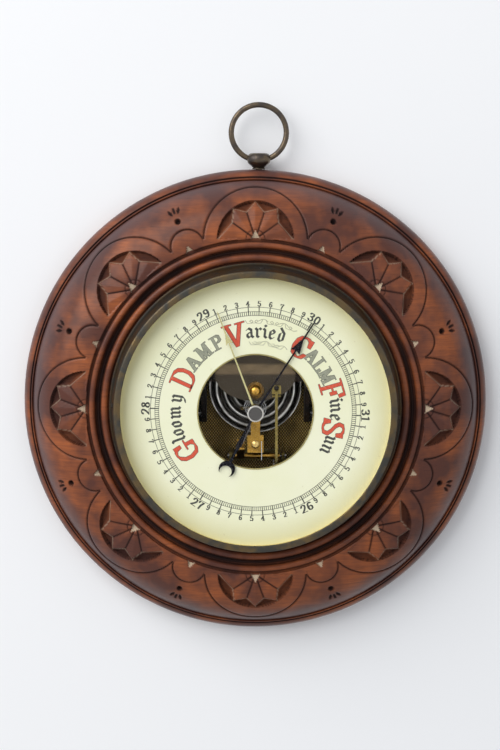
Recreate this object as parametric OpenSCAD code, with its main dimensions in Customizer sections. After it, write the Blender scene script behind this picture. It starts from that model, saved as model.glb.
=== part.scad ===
// Round wall barometer: a turned and carved wooden frame, a glazed brass bezel,
// and an aneroid movement that shows through the hole in the dial. Millimetres, +Z up.
// The back lies on the XZ plane and the dial looks along -Y. The dial's axis is the Y axis.
// Every piece is drawn lying on its back, dial up, and turned upright at the end.
// Heights called _z are then distances from the back face towards the viewer.

/* [Wooden frame] */
// Diameter over the outer roll
frame_d = 272; // [264:1:290]
// Thickness of the outer roll, from the wall forward
roll_t = 17; // [15:0.5:19]
// Height of the dome where the carving starts, at its inner edge
dome_z = 38; // [36:0.5:42]
// Height of the dome at its foot, beside the outer roll
foot_z = 18; // [17.5:0.5:21]
// Width of the outer roll and its quirks
roll_w = 6.5; // [5.5:0.5:8]
// Width of the inner torus next to the bezel
torus_w = 4.2; // [3.5:0.1:5]
// Width of the channel between the two inner mouldings
channel_w = 3.3; // [2.5:0.1:4]
// Width of the bead at the inner edge of the carving
bead_w = 3.6; // [3:0.1:4.5]
// Depth of the channel and of the quirk beside the bead
channel_depth = 3; // [2:0.5:5]

/* [Carving] */
// Number of carved fans round the dome
fan_count = 8; // [6:1:10]
// Width of the incised lines
line_w = 0.9; // [0.6:0.1:1.4]
// Depth of the incised lines
line_depth = 0.9; // [0.5:0.1:1.5]
// Depth of the chip-cut ground behind the petals
ground_depth = 2.4; // [1.5:0.1:3.5]
// Distance of the outer arches from the dome's foot
arch_edge = 3.2; // [2.5:0.1:5]
// Width of the plain band between the outer arch and the petals' arch
band_w = 7.9; // [5:0.1:9]
// Radius of the small arches between the fans
small_arch_r = 9.6; // [8:0.2:10]
// Length of the straight legs of the small arches
small_arch_leg = 3.5; // [2.5:0.1:4.5]
// Distance from a small arch to the punched hole outside it
punch_gap = 5.5; // [3:0.1:6]

/* [Case] */
// Outer diameter of the brass drum that holds the movement
case_d = 158; // [152:0.5:164]
// Thickness of the drum's sheet brass
case_wall = 0.8; // [0.6:0.1:1.2]
// Height of the flange that rests on the wood, under the bezel
seat_z = 37; // [35:0.5:37.5]
// Free play of the drum in the wooden bore
bore_play = 0.6; // [0.4:0.1:1]

/* [Bezel and glass] */
// How far the bezel's lip reaches in over the glass, from the drum's outside
sight_lip_w = 2.8; // [2.4:0.1:4]
// How far the bezel's foot reaches out beyond the drum
bezel_foot_w = 4.6; // [4:0.1:6]
// Width of the bezel's front face
bezel_face_w = 3.4; // [3:0.1:4]
// Thickness of the glass
glass_t = 2.2; // [2:0.1:3]
// Depth of the lip in front of the glass
lip_t = 1.1; // [0.8:0.1:1.6]
// Diameter of the hole in the glass
glass_hole_d = 4.8; // [4.4:0.1:5.4]
// Diameter of the set-hand knob
knob_d = 9.4; // [8.5:0.1:11]

/* [Dial and hands] */
// Height of the dial's face
dial_z = 49; // [48:0.5:51]
// Thickness of the dial plate
dial_t = 1; // [0.8:0.1:1.5]
// Diameter of the hole in the dial
dial_hole_d = 65.8; // [62:0.2:68]
// Space between the dial and the glass
dial_air = 3.8; // [3.6:0.1:5]
// Distance from the points of both hands to the edge of the sight opening
hand_gap = 15.2; // [8:0.2:20]
// Distance from the point of the indicating hand back to its barbed head
index_head_l = 18.5; // [12:0.5:20]
// Distance from the point of the set hand back to its head
set_head_l = 18; // [8:0.5:20]
// Length of the indicating hand's tail, to the tips of its crescent
tail_len = 40; // [36:0.5:42]
// Bend of the indicating hand's tail, out of line with its front
tail_bend = 6.5; // [0:0.5:8]
// Angle at which the indicating hand rests, clockwise from the top
hand_angle = 33; // [0:1:60]
// Angle at which the set hand rests, clockwise from the top
set_angle = -20.6; // [-60:0.2:0]
// Thickness of the two hands
hand_t = 0.35; // [0.3:0.05:0.5]

/* [Movement] */
// Diameter of the movement's base plate
plate_d = 118; // [110:1:130]
// Thickness of the base plate
plate_t = 1.6; // [1.2:0.1:2]
// Height of the base plate's front face
plate_z = 13.6; // [13:0.2:14.4]
// Diameter of the vacuum capsule
capsule_d = 53; // [50:0.5:54]
// Thickness of the vacuum capsule
capsule_t = 9; // [8:0.2:9.4]
// Height of the capsule's centre above the dial's axis
capsule_y = 11; // [10:0.2:12]
// Reach of the bridge's feet below the capsule's centre
bridge_low = 21; // [17:0.5:22]
// Width of the bridge's cross-beam, down from its top edge
beam_w = 14; // [12.5:0.5:15]
// Distance of the cross-beam's top edge above the capsule's centre
bridge_high = 18; // [17:0.5:20]
// Width of the mainspring
spring_w = 46; // [42:0.5:50]
// Height of the front of the bridge's cross-beam
beam_z = 30.5; // [30:0.1:31]
// Thickness of the bridge's cross-beam
beam_t = 3; // [2.4:0.1:3.4]
// Thickness of the mainspring's leaf
spring_t = 1.2; // [1:0.1:1.4]
// Distance between the two leaves of the mainspring, centre to centre
spring_pitch = 5; // [4.6:0.1:5.4]
// Radius of the arbor's chain pulley
pulley_r = 1.65; // [1.5:0.05:2]
// Length of the main lever from the spring's bend to the link
lever_len = 52.5; // [51:0.5:53.5]
// Height of the rocking bar's axis above the back
rocker_z = 29; // [28.5:0.5:30]
// Distance of the rocking bar below the dial's axis
rocker_drop = 28.4; // [28:0.2:30]
// Diameter of the arbor
arbor_d = 1.2; // [1:0.05:1.4]

/* [Hanger] */
// Outer diameter of the hanging ring
ring_d = 35; // [32:0.5:40]
// Thickness of the ring's wire
ring_wire = 3.2; // [2.6:0.1:3.6]
// Diameter of the knob-shaped head that the ring passes through
stem_head_d = 10.6; // [10:0.1:12]
// Diameter of the stem's neck
stem_neck_d = 6.2; // [5:0.1:7]
// Height of the ring's pivot above the wood
ring_pivot_h = 5.6; // [5.4:0.1:7]
// Sideways place of the stem on the top edge
stem_x = 2; // [-2:0.5:2]

/* [Hidden] */
$fn = 96;

// Small clearances: a running fit, a seat that only touches, and a gap that clears a motion
run_fit = 0.05;
seat_gap = 0.1;
move_gap = 0.3;

// Radii of the frame, from the inside out
case_r = case_d / 2;
bore_r = case_r + bore_play;
bezel_r = case_r + bezel_foot_w;
recess_r = bezel_r + 0.7;
torus_out_r = recess_r + torus_w;
channel_out_r = torus_out_r + channel_w;
bead_out_r = channel_out_r + bead_w;
dome_in_r = bead_out_r + 1.5;
frame_r = frame_d / 2;
dome_out_r = frame_r - roll_w;
dome_w = dome_out_r - dome_in_r;
dome_drop = dome_z - foot_z;
// The dome's section is one arc, level at its inner edge
dome_arc_r = (dome_w * dome_w + dome_drop * dome_drop) / (2 * dome_drop);

// Radii of the carved arches. A cut runs a little way in over the quirk beside the dome.
arch_r = dome_w - arch_edge;
fan_r = arch_r - band_w;
petal_step = 36;
petal_notch_r = fan_r * 0.74;
petal_tip_r = fan_r * 0.97;
petal_root_r = 2.8;
cut_over = 0.8;
punch_y = small_arch_leg + small_arch_r + punch_gap;

// Heights of the glazed front
glass_z = dial_z + dial_air;
glass_top_z = glass_z + glass_t;
bezel_top_z = glass_top_z + lip_t;
flange_t = case_wall;
bezel_foot_z = seat_z + flange_t;
sight_r = case_r - sight_lip_w;
bezel_face_r = sight_r + bezel_face_w;
case_in_r = case_r - case_wall;
case_top_z = glass_z - 1.2;
bezel_in_r = case_r + 0.25;
glass_r = bezel_in_r - 0.6;
dial_r = case_in_r - 0.2;
dial_hole_r = dial_hole_d / 2;
dial_back_z = dial_z - dial_t;

// The hands
hand_len = sight_r - hand_gap;
index_z = dial_z + 1;
set_z = index_z + hand_t + 1.25;
spindle_r = 1.5;
spindle_bush_r = glass_hole_d / 2 - 0.08;
knob_z = glass_top_z + 0.15;
knob_t = 2.4;

// Heights of the movement
plate_back_z = plate_z - plate_t;
beam_back_z = beam_z - beam_t;
capsule_top_z = beam_back_z - 1.5;
capsule_z = capsule_top_z - capsule_t;
capsule_mid_z = capsule_top_z - capsule_t / 2;
capsule_r = capsule_d / 2;
leaf_low_z = beam_z + spring_t / 2;
leaf_high_z = leaf_low_z + spring_pitch;
bend_y = capsule_y + bridge_high - 8.5;
leaf_r = 13.5;
leaf_y = bend_y + 3 - leaf_r / 2 + 1.5;
leaf_top_z = leaf_high_z + spring_t / 2;
lever_z = leaf_top_z;
lever_x = 12;
lever_w = 1.5;
lever_deep = 3.2;
lever_block = [5.2, 5, 1.4];
cross_pin_l = 4.8;
link_y = bend_y - lever_len;
link_pin_z = lever_z + lever_deep / 2;
crank_r = -rocker_drop - link_y;
arbor_r = arbor_d / 2;
rocker_bar_r = 1.7;
arm_tip = [5.4, 7.8];
arm_x = -8.5;
arm_w = 4.4;
finger_reach = 10;
cock_z = 41;
cock_t = 1.6;
lower_arm_z = 31.2;
lower_arm_t = 1.6;
lower_arm_r = 2.6;
pulley_z = rocker_z + arm_tip[1] - 1.2;
pulley_t = 2.4;
post_y = [-24.4, -14.9];
post_w = 7;
post_top_y = capsule_y - capsule_r - 0.7;
pillar_d = 6;
pillar_ring_r = plate_d / 2 - 8;
pillar_angles = [30, 150, 270];
adjuster_r = 2.5;
bridge_x = capsule_r + 1.8;
cheek_t = 2.8;
ear_x = [-15, 16.8];
ear_t = 1.6;
ear_w = 4.4;

// Heights of the hanger above the dial's axis
ring_wire_r = ring_wire / 2;
ring_mean_r = ring_d / 2 - ring_wire_r;
ring_hole_r = ring_wire_r + 0.7;
pivot_y = frame_r + ring_pivot_h;
ring_y = pivot_y + ring_mean_r - 0.4;
stem_z = roll_t / 2;
shank_r = 2;
shank_l = 16;
shank_hole_l = shank_l + 4;

// Places of the small screws
case_screw_angles = [60, 180, 300];
case_screw_ring_r = (case_r + bezel_r) / 2 - 0.2;
case_screw_r = 0.95;
case_screw_l = 9;
bezel_turn = 2.4;
bezel_screw_angles = [for (i = [1:4]) 90 * i - bezel_turn];
bezel_foot_h = 1.6;
bezel_slope_low = [bezel_r - 0.9, bezel_foot_z + bezel_foot_h + 0.7];
bezel_slope_high = [bezel_face_r + 0.3, bezel_top_z - 1.4];
bezel_screw_at = (bezel_slope_low + bezel_slope_high) / 2 - [0.3, 0];
cock_screw_y = (post_y[0] + post_y[1]) / 2;
cock_screw_r = 1.1;
post_screw_r = 1.2;
pillar_screw_r = 1.2;
pillar_screw_l = 4.4;
post_screw_y = [post_y[0] + 2, post_top_y - 2];
bracket_y = -rocker_drop - 4.4;
bracket_t = 1.6;
bracket_w = 6;
bush_r = 5;
bridge_foot = 8;
bridge_foot_t = 2;
spring_screw_x = 8;
bridge_screw_x = bridge_x + 5.4;
bridge_screw_y = [capsule_y - bridge_low + 5, capsule_y + bridge_high - 5];
bridge_screw_r = 1.2;
bracket_screw_x = [-9, 9];
bracket_screw_r = 0.9;
spring_screw_y = bend_y - 3;
spring_screw_r = 1;
pivot_r = 0.45;
pivot_screw_r = 0.9;

// The hairspring
hair_turns = 4.5;
hair_in_r = 1.5;
hair_pitch = 1.15;
hair_t = 0.2;
hair_h = 0.9;
hair_z = lower_arm_z + lower_arm_t + 1;

// The capsule's post, and the boss of each shell
post_r = 1.6;
boss_bore_r = 2.2;
boss_r = 5;
boss_t = 1.4;
shell_t = 0.4;

wood = [0.38, 0.15, 0.09];
dark_bronze = [0.27, 0.23, 0.19];
brass = [0.72, 0.55, 0.25];
old_brass = [0.45, 0.34, 0.18];
steel = [0.62, 0.62, 0.64];
blued = [0.10, 0.10, 0.13];
iron = [0.20, 0.19, 0.20];
nickel = [0.66, 0.65, 0.62];
ivory = [0.93, 0.90, 0.76];
clear = [0.85, 0.92, 0.92, 0.35];

// Turns a piece drawn lying on its back into the upright model
module upright() {
    rotate([90, 0, 0]) children();
}

// A flat-bottomed disc or tube from height low to high
module disc(r, low, high, hole = 0) {
    translate([0, 0, low]) difference() {
        cylinder(r = r, h = high - low);
        if (hole > 0) translate([0, 0, -1]) cylinder(r = hole, h = high - low + 2);
    }
}

// A round-head screw along +Z: its head sits on height 0, its shank goes down
module round_screw(head_r, head_h, shank_r, shank_l, slot_w = 0.5) {
    difference() {
        union() {
            intersection() {
                cylinder(r = head_r, h = head_h);
                translate([0, 0, head_h - head_r * 1.25]) sphere(r = head_r * 1.25);
            }
            translate([0, 0, -shank_l]) cylinder(r = shank_r, h = shank_l + head_h / 2);
        }
        translate([-head_r - 1, -slot_w / 2, head_h * 0.5]) cube([2 * head_r + 2, slot_w, head_h]);
    }
}

// The frame's turned section, right of the axis, without its carving
module frame_section() {
    difference() {
        union() {
            // the body under the mouldings, and the outer roll
            translate([bore_r, 0]) square([dome_in_r - bore_r, dome_z]);
            translate([bore_r, 0]) square([dome_out_r + 1.6 - bore_r, foot_z]);
            intersection() {
                translate([frame_r - roll_t / 2 - 0.5, roll_t / 2]) circle(r = roll_t / 2 + 0.5);
                translate([dome_out_r - 2, 0]) square([roll_w + 4, roll_t]);
            }
            dome_section(0);
            // the torus and the bead stand a little above the dome
            translate([recess_r + torus_w / 2, dome_z - torus_w / 2 + 1]) circle(r = torus_w / 2);
            translate([channel_out_r + bead_w / 2, dome_z - bead_w / 2 + 1]) circle(r = bead_w / 2);
        }
        // shoulders beside the torus and the bead, down to the floor of their channels
        translate([bore_r - 1, seat_z]) square([recess_r - bore_r + 1, dome_z]);
        translate([torus_out_r, dome_z - channel_depth]) square([channel_w, 2 * channel_depth]);
        translate([bead_out_r, dome_z - channel_depth / 2]) square([dome_in_r - bead_out_r, channel_depth]);
        for (c = [[recess_r, torus_w], [channel_out_r, bead_w]])
            difference() {
                translate([c[0], dome_z - c[1] / 2 + 1]) square([c[1], c[1]]);
                translate([c[0] + c[1] / 2, dome_z - c[1] / 2 + 1]) circle(r = c[1] / 2);
            }
        // two quirks leave a fine fillet between the dome and the roll
        for (r = [dome_out_r + 0.3, dome_out_r + 2])
            translate([r, foot_z - 0.4]) circle(r = 0.6, $fn = 24);
    }
    // a fine step in the channel between the two mouldings
    translate([torus_out_r + channel_w / 2 - 0.4, dome_z - channel_depth - 1]) square([0.8, 1.9]);
}

// The dome's own section, lowered along its normal by the depth of a cut, which is the core
// that the cuts lay bare
module dome_section(cut) {
    intersection() {
        translate([dome_in_r, dome_z - dome_arc_r]) circle(r = dome_arc_r - cut, $fn = 180);
        translate([dome_in_r - min(cut, cut_over + 0.4), 0])
            square([dome_w - cut + min(cut, cut_over + 0.4), dome_z]);
    }
}

// The five petals of a fan in one outline: three kites between two half kites on the base line.
// Their points almost reach the arch.
module petals() {
    corners = [for (i = [2:8]) (i % 2 == 0 ? petal_notch_r : petal_tip_r)
                   * [cos(i * petal_step / 2), sin(i * petal_step / 2)]];
    polygon(concat([[petal_tip_r, -1], [petal_tip_r, 0]], corners,
                   [[-petal_tip_r, 0], [-petal_tip_r, -1]]));
}

// The four incised lines between the petals
module petal_lines() {
    for (i = [1:4]) rotate(i * petal_step)
        translate([petal_root_r, -line_w / 2]) square([petal_notch_r + 0.4 - petal_root_r, line_w]);
}

// Outline of the deep-cut parts of a fan: the ground between petals and arch, and the chip
module fan_ground() {
    intersection() {
        translate([-fan_r - 1, 0]) square([2 * fan_r + 2, fan_r + 1]);
        difference() {
            circle(r = fan_r);
            petals();
        }
    }
    chip(2.7, 4.9);
}

// A three-cornered chip that stands on the dome's inner edge
module chip(half_w, h) {
    polygon([[-half_w, -cut_over], [half_w, -cut_over], [half_w, 0], [0, h], [-half_w, 0]]);
}

// Outline of a half-round incised line
module arch_line(r, stilt) {
    intersection() {
        translate([-r - 2, -stilt]) square([2 * r + 4, r + stilt + 2]);
        union() {
            difference() {
                circle(r = r + line_w / 2);
                circle(r = r - line_w / 2);
                if (stilt > 0) translate([-r - 1, -r - 1]) square([2 * r + 2, r + 1]);
            }
            if (stilt > 0)
                for (s = [-1, 1]) translate([s * r - line_w / 2, -stilt]) square([line_w, stilt]);
        }
    }
}

// Outline of the deep cuts between two fans: a chip, a punched hole and three leaf strokes
module spray_ground() {
    chip(2.2, 4);
    translate([0, punch_y]) circle(r = 1.4, $fn = 24);
    for (a = [-28, 0, 28])
        translate([0, punch_y + 1]) rotate(a) translate([0, 3.2])
            intersection() {
                translate([2.2, 2]) circle(r = 3, $fn = 48);
                translate([-2.2, 2]) circle(r = 3, $fn = 48);
            }
}

// A flat outline cut straight down into the dome, once for each fan or gap between fans
module carve(shift) {
    for (i = [0:fan_count - 1]) rotate((i + shift) * 360 / fan_count)
        translate([0, dome_in_r, foot_z - 2]) linear_extrude(dome_drop + 4) children();
}

module wood_frame() {
    color(wood) upright() difference() {
        union() {
            difference() {
                union() {
                    difference() {
                        rotate_extrude($fn = 180) frame_section();
                        carve(0) arch_line(arch_r, 0);
                        carve(0) petal_lines();
                        carve(0.5) translate([0, small_arch_leg])
                            arch_line(small_arch_r, small_arch_leg + cut_over);
                    }
                    rotate_extrude($fn = 180) dome_section(line_depth);
                }
                carve(0) fan_ground();
                carve(0.5) spray_ground();
            }
            rotate_extrude($fn = 180) dome_section(ground_depth);
        }
        for (a = case_screw_angles) rotate(a)
            translate([case_screw_ring_r, 0, seat_z + flange_t - case_screw_l])
                cylinder(r = case_screw_r + run_fit, h = case_screw_l);
        // the hole in the top edge for the hanger's shank
        translate([stem_x, frame_r - shank_hole_l, stem_z]) rotate([-90, 0, 0])
            cylinder(r = shank_r, h = shank_hole_l + 1);
    }
}

// Height of the wood's top edge where the stem stands
function stem_foot_y() = sqrt(frame_r * frame_r - stem_x * stem_x);

module hanger_stem() {
    head_r = stem_head_d / 2;
    neck_r = stem_neck_d / 2;
    y0 = stem_foot_y();
    head_low = pivot_y - ring_hole_r - 1.2;
    head_high = pivot_y + ring_hole_r + 1.6;
    color(dark_bronze) upright() difference() {
        translate([stem_x, 0, stem_z]) rotate([-90, 0, 0]) union() {
            translate([0, 0, y0 - shank_l]) cylinder(r = shank_r - run_fit, h = shank_l + 0.5);
            translate([0, 0, y0 + seat_gap]) cylinder(r = neck_r + 0.8, h = 0.7);
            translate([0, 0, y0 + seat_gap]) cylinder(r = neck_r, h = head_low - y0);
            translate([0, 0, head_low - 1.6]) cylinder(r1 = neck_r, r2 = head_r, h = 1.8);
            translate([0, 0, head_low + 0.2]) cylinder(r = head_r, h = head_high - head_low - 1.6);
            translate([0, 0, head_high - 1.4]) cylinder(r1 = head_r, r2 = head_r * 0.72, h = 1.4);
        }
        translate([stem_x - head_r - 1, pivot_y, stem_z]) rotate([0, 90, 0])
            cylinder(r = ring_hole_r, h = 2 * head_r + 2);
    }
}

module hanger_ring() {
    color(dark_bronze) upright() translate([stem_x, ring_y, stem_z])
        rotate_extrude($fn = 96) translate([ring_mean_r, 0]) circle(r = ring_wire_r, $fn = 48);
}

module case_drum() {
    color(brass) upright() difference() {
        disc(case_r, 0, case_top_z);
        disc(case_in_r, case_wall, case_top_z + 1);
        for (a = bezel_screw_angles) bezel_screw_place(a)
            translate([0, 0, -6]) cylinder(r = 0.85, h = 8);
        // the way in for the screwdriver that sets the capsule
        translate([0, capsule_y, -1]) cylinder(r = 3.6, h = case_wall + 2);
    }
}

module case_flange() {
    color(brass) upright() difference() {
        disc(bezel_r - 0.4, seat_z, seat_z + flange_t, case_r);
        for (a = case_screw_angles) rotate(a)
            translate([case_screw_ring_r, 0, seat_z - 1])
                cylinder(r = case_screw_r + run_fit, h = flange_t + 2);
    }
}

module case_screws() {
    // flat heads that stay under the hollow foot of the bezel
    color(steel) upright() for (a = case_screw_angles) rotate(a)
        translate([case_screw_ring_r, 0, seat_z + flange_t]) {
            cylinder(r = 1.4, h = 0.6);
            translate([0, 0, -case_screw_l]) cylinder(r = case_screw_r, h = case_screw_l + 0.3);
        }
}

module dial_ledge() {
    color(brass) upright()
        disc(case_in_r, dial_back_z - 1.2, dial_back_z, case_in_r - 3);
}

// The bezel's section: a tall tapered wall, a hollow foot and a rounded lip over the glass
module bezel_section() {
    difference() {
        polygon([[bezel_in_r, bezel_foot_z], [bezel_r, bezel_foot_z], [bezel_r, bezel_foot_z + bezel_foot_h],
                 bezel_slope_low, bezel_slope_high, [bezel_face_r - 0.8, bezel_top_z - 0.3],
                 [bezel_face_r - 1.6, bezel_top_z], [sight_r + 0.5, bezel_top_z],
                 [sight_r, bezel_top_z - 0.5], [sight_r, glass_top_z], [bezel_in_r - 0.55, glass_top_z],
                 [bezel_in_r, glass_top_z - 0.6]]);
        // the hollow foot leaves room for the heads of the flange's screws
        translate([case_r, bezel_foot_z - 1]) square([bezel_r - case_r - 0.9, 1.9]);
    }
}

module bezel() {
    color(dark_bronze) upright() difference() {
        rotate_extrude($fn = 180) bezel_section();
        for (a = bezel_screw_angles) bezel_screw_place(a) {
            cylinder(r = 1.75, h = 3);
            translate([0, 0, -6]) cylinder(r = 0.85, h = 12);
        }
    }
}

// The place on the bezel's wall where a screw goes in, +Z outwards along the radius
module bezel_screw_place(a) {
    rotate(a) translate([bezel_screw_at[0], 0, bezel_screw_at[1]]) rotate([0, 90, 0]) children();
}

module bezel_screws() {
    color(iron) upright() for (a = bezel_screw_angles) bezel_screw_place(a)
        round_screw(1.7, 1.1, 0.8, bezel_screw_at[0] - case_in_r - seat_gap);
}

module glass() {
    color(clear) upright() rotate_extrude($fn = 180) {
        hole_r = glass_hole_d / 2;
        polygon([[hole_r, glass_z], [glass_r, glass_z], [glass_r, glass_top_z - 0.7],
                 [sight_r - 0.6, glass_top_z], [hole_r, glass_top_z]]);
    }
}

module glass_ring() {
    color(brass) upright() disc(case_in_r - 0.15, dial_z, glass_z, case_in_r - 1.3);
}

module dial_plate() {
    color(ivory) upright() disc(dial_r, dial_back_z, dial_z, dial_hole_r + 0.25);
}

module dial_rim() {
    color(brass) upright() {
        disc(dial_hole_r + 0.2, dial_back_z - 0.7, dial_z + 0.25, dial_hole_r - 0.5);
        disc(dial_hole_r + 1.6, dial_back_z - 0.7, dial_back_z, dial_hole_r);
    }
}

// The set hand's parts above and through the glass
module set_knob() {
    color(steel) upright() difference() {
        translate([0, 0, knob_z]) rotate_extrude($fn = 96) {
            r = knob_d / 2;
            polygon([[spindle_r, 0], [r - 0.9, 0], [r, 0.8], [r, knob_t - 0.3], [r - 0.3, knob_t],
                     [r - 0.9, knob_t], [r - 1.2, knob_t - 0.3], [0, knob_t - 0.3], [0, 1.6],
                     [spindle_r, 1.6]]);
        }
        for (i = [0:23]) rotate(i * 15)
            translate([knob_d / 2 + 0.15, 0, knob_z + 0.4]) cylinder(r = 0.35, h = knob_t, $fn = 16);
    }
}

module set_spindle() {
    color(brass) upright() rotate_extrude($fn = 64)
        polygon([[0, set_z - 0.45], [spindle_r + 0.6, set_z - 0.45], [spindle_r + 0.6, set_z],
                 [spindle_r, set_z], [spindle_r, glass_z - 0.1], [spindle_bush_r, glass_z - 0.1],
                 [spindle_bush_r, glass_top_z + 0.15], [spindle_r, glass_top_z + 0.15],
                 [spindle_r, knob_z + 1.6], [0, knob_z + 1.6]]);
}

module set_washer() {
    color(steel) upright()
        disc(3.6, set_z + hand_t, glass_z - 0.1, spindle_r + run_fit);
}

// A tapering stem with a barbed head, drawn pointing up from the axis
module hand_outline(length, head_at, head_w, root_w, tip_w) {
    side = [[root_w / 2, 0], [tip_w * 0.6, head_at - 0.6], [head_w / 2, head_at - 1.8],
            [head_w * 0.3, head_at + head_w * 0.3], [tip_w * 0.7, head_at + head_w],
            [tip_w / 2, length - 1]];
    polygon(concat(side, [[0, length]],
                   [for (i = [len(side) - 1:-1:0]) [-side[i][0], side[i][1]]]));
}

module set_hand() {
    color(brass) upright() rotate(-set_angle) translate([0, 0, set_z]) linear_extrude(hand_t)
        difference() {
            union() {
                hand_outline(hand_len, hand_len - set_head_l, 4.2, 1.1, 0.65);
                circle(r = 3.2);
            }
            circle(r = spindle_r + run_fit);
        }
}

// The indicating hand's tail, which widens to a diamond halfway to its crescent
module hand_tail() {
    neck_y = -tail_len * 0.36;
    wide_y = -tail_len * 0.5;
    waist_y = -tail_len * 0.64;
    side = [[0.7, 0], [0.75, neck_y], [1.6, wide_y], [0.75, waist_y], [0.9, -tail_len + 7]];
    polygon(concat([for (i = [len(side) - 1:-1:0]) side[i]], [for (p = side) [-p[0], p[1]]]));
}

module index_hand() {
    crescent_r = 4.7;
    crescent_y = -tail_len + 3.6;
    color(blued) upright() rotate(-hand_angle) translate([0, 0, index_z]) linear_extrude(hand_t)
        difference() {
            union() {
                hand_outline(hand_len, hand_len - index_head_l, 6, 1.4, 0.75);
                circle(r = 2.6);
                rotate(tail_bend) {
                    hand_tail();
                    translate([0, crescent_y]) circle(r = crescent_r);
                }
            }
            rotate(tail_bend) translate([0, crescent_y - 1.7]) circle(r = crescent_r - 1.2);
            circle(r = 1.25);
        }
}

module index_collet() {
    color(brass) upright() rotate_extrude($fn = 48)
        polygon([[arbor_r + 0.02, index_z - 0.6], [2, index_z - 0.6], [2, index_z], [1.2, index_z],
                 [1.2, index_z + hand_t], [1.7, index_z + hand_t], [1.5, index_z + hand_t + 0.4],
                 [arbor_r + 0.02, index_z + hand_t + 0.4]]);
}

module arbor() {
    // a turned steel arbor with its chain pulley and the hairspring's collet
    color(steel) upright() {
        disc(arbor_r, lower_arm_z + 0.1, index_z + hand_t + 0.5);
        disc(1.2, lower_arm_z + lower_arm_t + 0.3, pulley_z - 0.4);
        disc(pulley_r, pulley_z - 0.4, pulley_z + pulley_t + 0.4);
        for (z = [pulley_z - 0.4, pulley_z + pulley_t]) disc(pulley_r + 0.7, z, z + 0.4);
    }
}

module arbor_post() {
    color(brass) upright() difference() {
        union() {
            translate([-post_w / 2, post_y[0], plate_z])
                cube([post_w, post_top_y - post_y[0], cock_z - plate_z]);
            translate([-lower_arm_r, post_top_y - 1, lower_arm_z])
                cube([2 * lower_arm_r, 1 - post_top_y, lower_arm_t]);
            disc(lower_arm_r, lower_arm_z, lower_arm_z + lower_arm_t);
        }
        translate([0, 0, lower_arm_z - 1]) cylinder(r = arbor_r + run_fit, h = lower_arm_t + 2);
        translate([0, cock_screw_y, cock_z - 6]) cylinder(r = cock_screw_r + run_fit, h = 8);
        for (y = post_screw_y)
            translate([0, y, plate_z - 1]) cylinder(r = post_screw_r + run_fit, h = 6);
    }
}

module arbor_cock() {
    color(brass) upright() difference() {
        translate([0, 0, cock_z]) linear_extrude(cock_t) difference() {
            union() {
                translate([-4.6, post_y[0]]) square([9.2, post_y[1] - post_y[0] + 0.6]);
                translate([-2.65, post_y[1]]) square([5.3, -post_y[1]]);
                circle(r = 2.65);
            }
            circle(r = arbor_r + run_fit);
            translate([0, cock_screw_y]) circle(r = cock_screw_r + run_fit);
        }
    }
}

module cock_screw() {
    color(brass) upright() translate([0, cock_screw_y, cock_z + cock_t])
        round_screw(2.4, 1.3, cock_screw_r, 6);
}

module steady_wire() {
    // a bent wire held beside the cock's screw, whose end bears on the rocking bar
    wire_r = 0.25;
    x = post_w / 2;
    top = cock_z + cock_t + wire_r;
    low = rocker_z + rocker_bar_r + seat_gap;
    color(steel) upright() {
        translate([x, cock_screw_y + 2, top]) rotate([90, 0, 0])
            cylinder(r = wire_r, h = cock_screw_y + 2 + rocker_drop + wire_r, $fn = 16);
        translate([x, -rocker_drop, low]) cylinder(r = wire_r, h = top - low, $fn = 16);
    }
}

// A point on the hairspring, from its collet outwards
function hair_point(turn, side) = let (r = hair_in_r + hair_pitch * turn + side * hair_t / 2)
    r * [cos(360 * turn), sin(360 * turn)];

module hairspring() {
    steps = 90;
    color(steel) upright() translate([0, 0, hair_z]) linear_extrude(hair_h)
        polygon(concat([for (i = [0:steps]) hair_point(hair_turns * i / steps, -1)],
                       [for (i = [steps:-1:0]) hair_point(hair_turns * i / steps, 1)]));
}

module hairspring_stud() {
    // a square stud at the spring's outer end, on an arm of the post
    x = -hair_in_r - hair_pitch * hair_turns - hair_t / 2 - 0.8;
    color(brass) upright() {
        translate([x - 0.8, -0.8, lower_arm_z]) cube([1.6, 1.6, hair_z + hair_h - lower_arm_z]);
        translate([x - 0.8, -0.8, lower_arm_z]) cube([0.8 - x - lower_arm_r, 1.6, 0.9]);
    }
}

module chain() {
    // links of a fusee chain, from the arm's tip to the right-hand side of the pulley
    half_w = 0.3;
    pitch = 1.1;
    start = [arm_x, -rocker_drop + arm_tip[0] + 1];
    wound_r = pulley_r + run_fit + half_w;
    reach = sqrt(start * start - wound_r * wound_r);
    dir = atan2(-start[1], -start[0]) - asin(wound_r / norm(start));
    color(steel) upright() translate([0, 0, pulley_z + pulley_t / 2]) {
        translate(start) rotate(dir)
            for (i = [0:floor((reach - 0.2) / pitch) - 1]) {
                link_t = i % 2 == 0 ? 0.7 : 0.4;
                translate([0.2 + i * pitch, -half_w, -link_t / 2]) cube([pitch + 0.01, 2 * half_w, link_t]);
            }
        disc(wound_r + half_w, -0.35, 0.35, wound_r - half_w);
    }
}

module base_plate() {
    color(old_brass) upright() difference() {
        disc(plate_d / 2, plate_back_z, plate_z);
        for (a = pillar_angles) rotate(a)
            translate([pillar_ring_r, 0, 0]) screw_hole(pillar_screw_r);
        for (s = [-1, 1], y = bridge_screw_y)
            translate([s * bridge_screw_x, y, 0]) screw_hole(bridge_screw_r);
        for (x = bracket_screw_x)
            translate([x, bracket_y + 2.2, 0]) screw_hole(bracket_screw_r);
        for (y = post_screw_y)
            translate([0, y, 0]) screw_hole(post_screw_r);
        translate([0, capsule_y, plate_back_z - 1]) cylinder(r = bush_r, h = plate_t + 2);
    }
}

// A clearance hole through the base plate, for a screw of radius r
module screw_hole(r) {
    translate([0, 0, plate_back_z - 1]) cylinder(r = r + run_fit, h = plate_t + 2);
}

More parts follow.
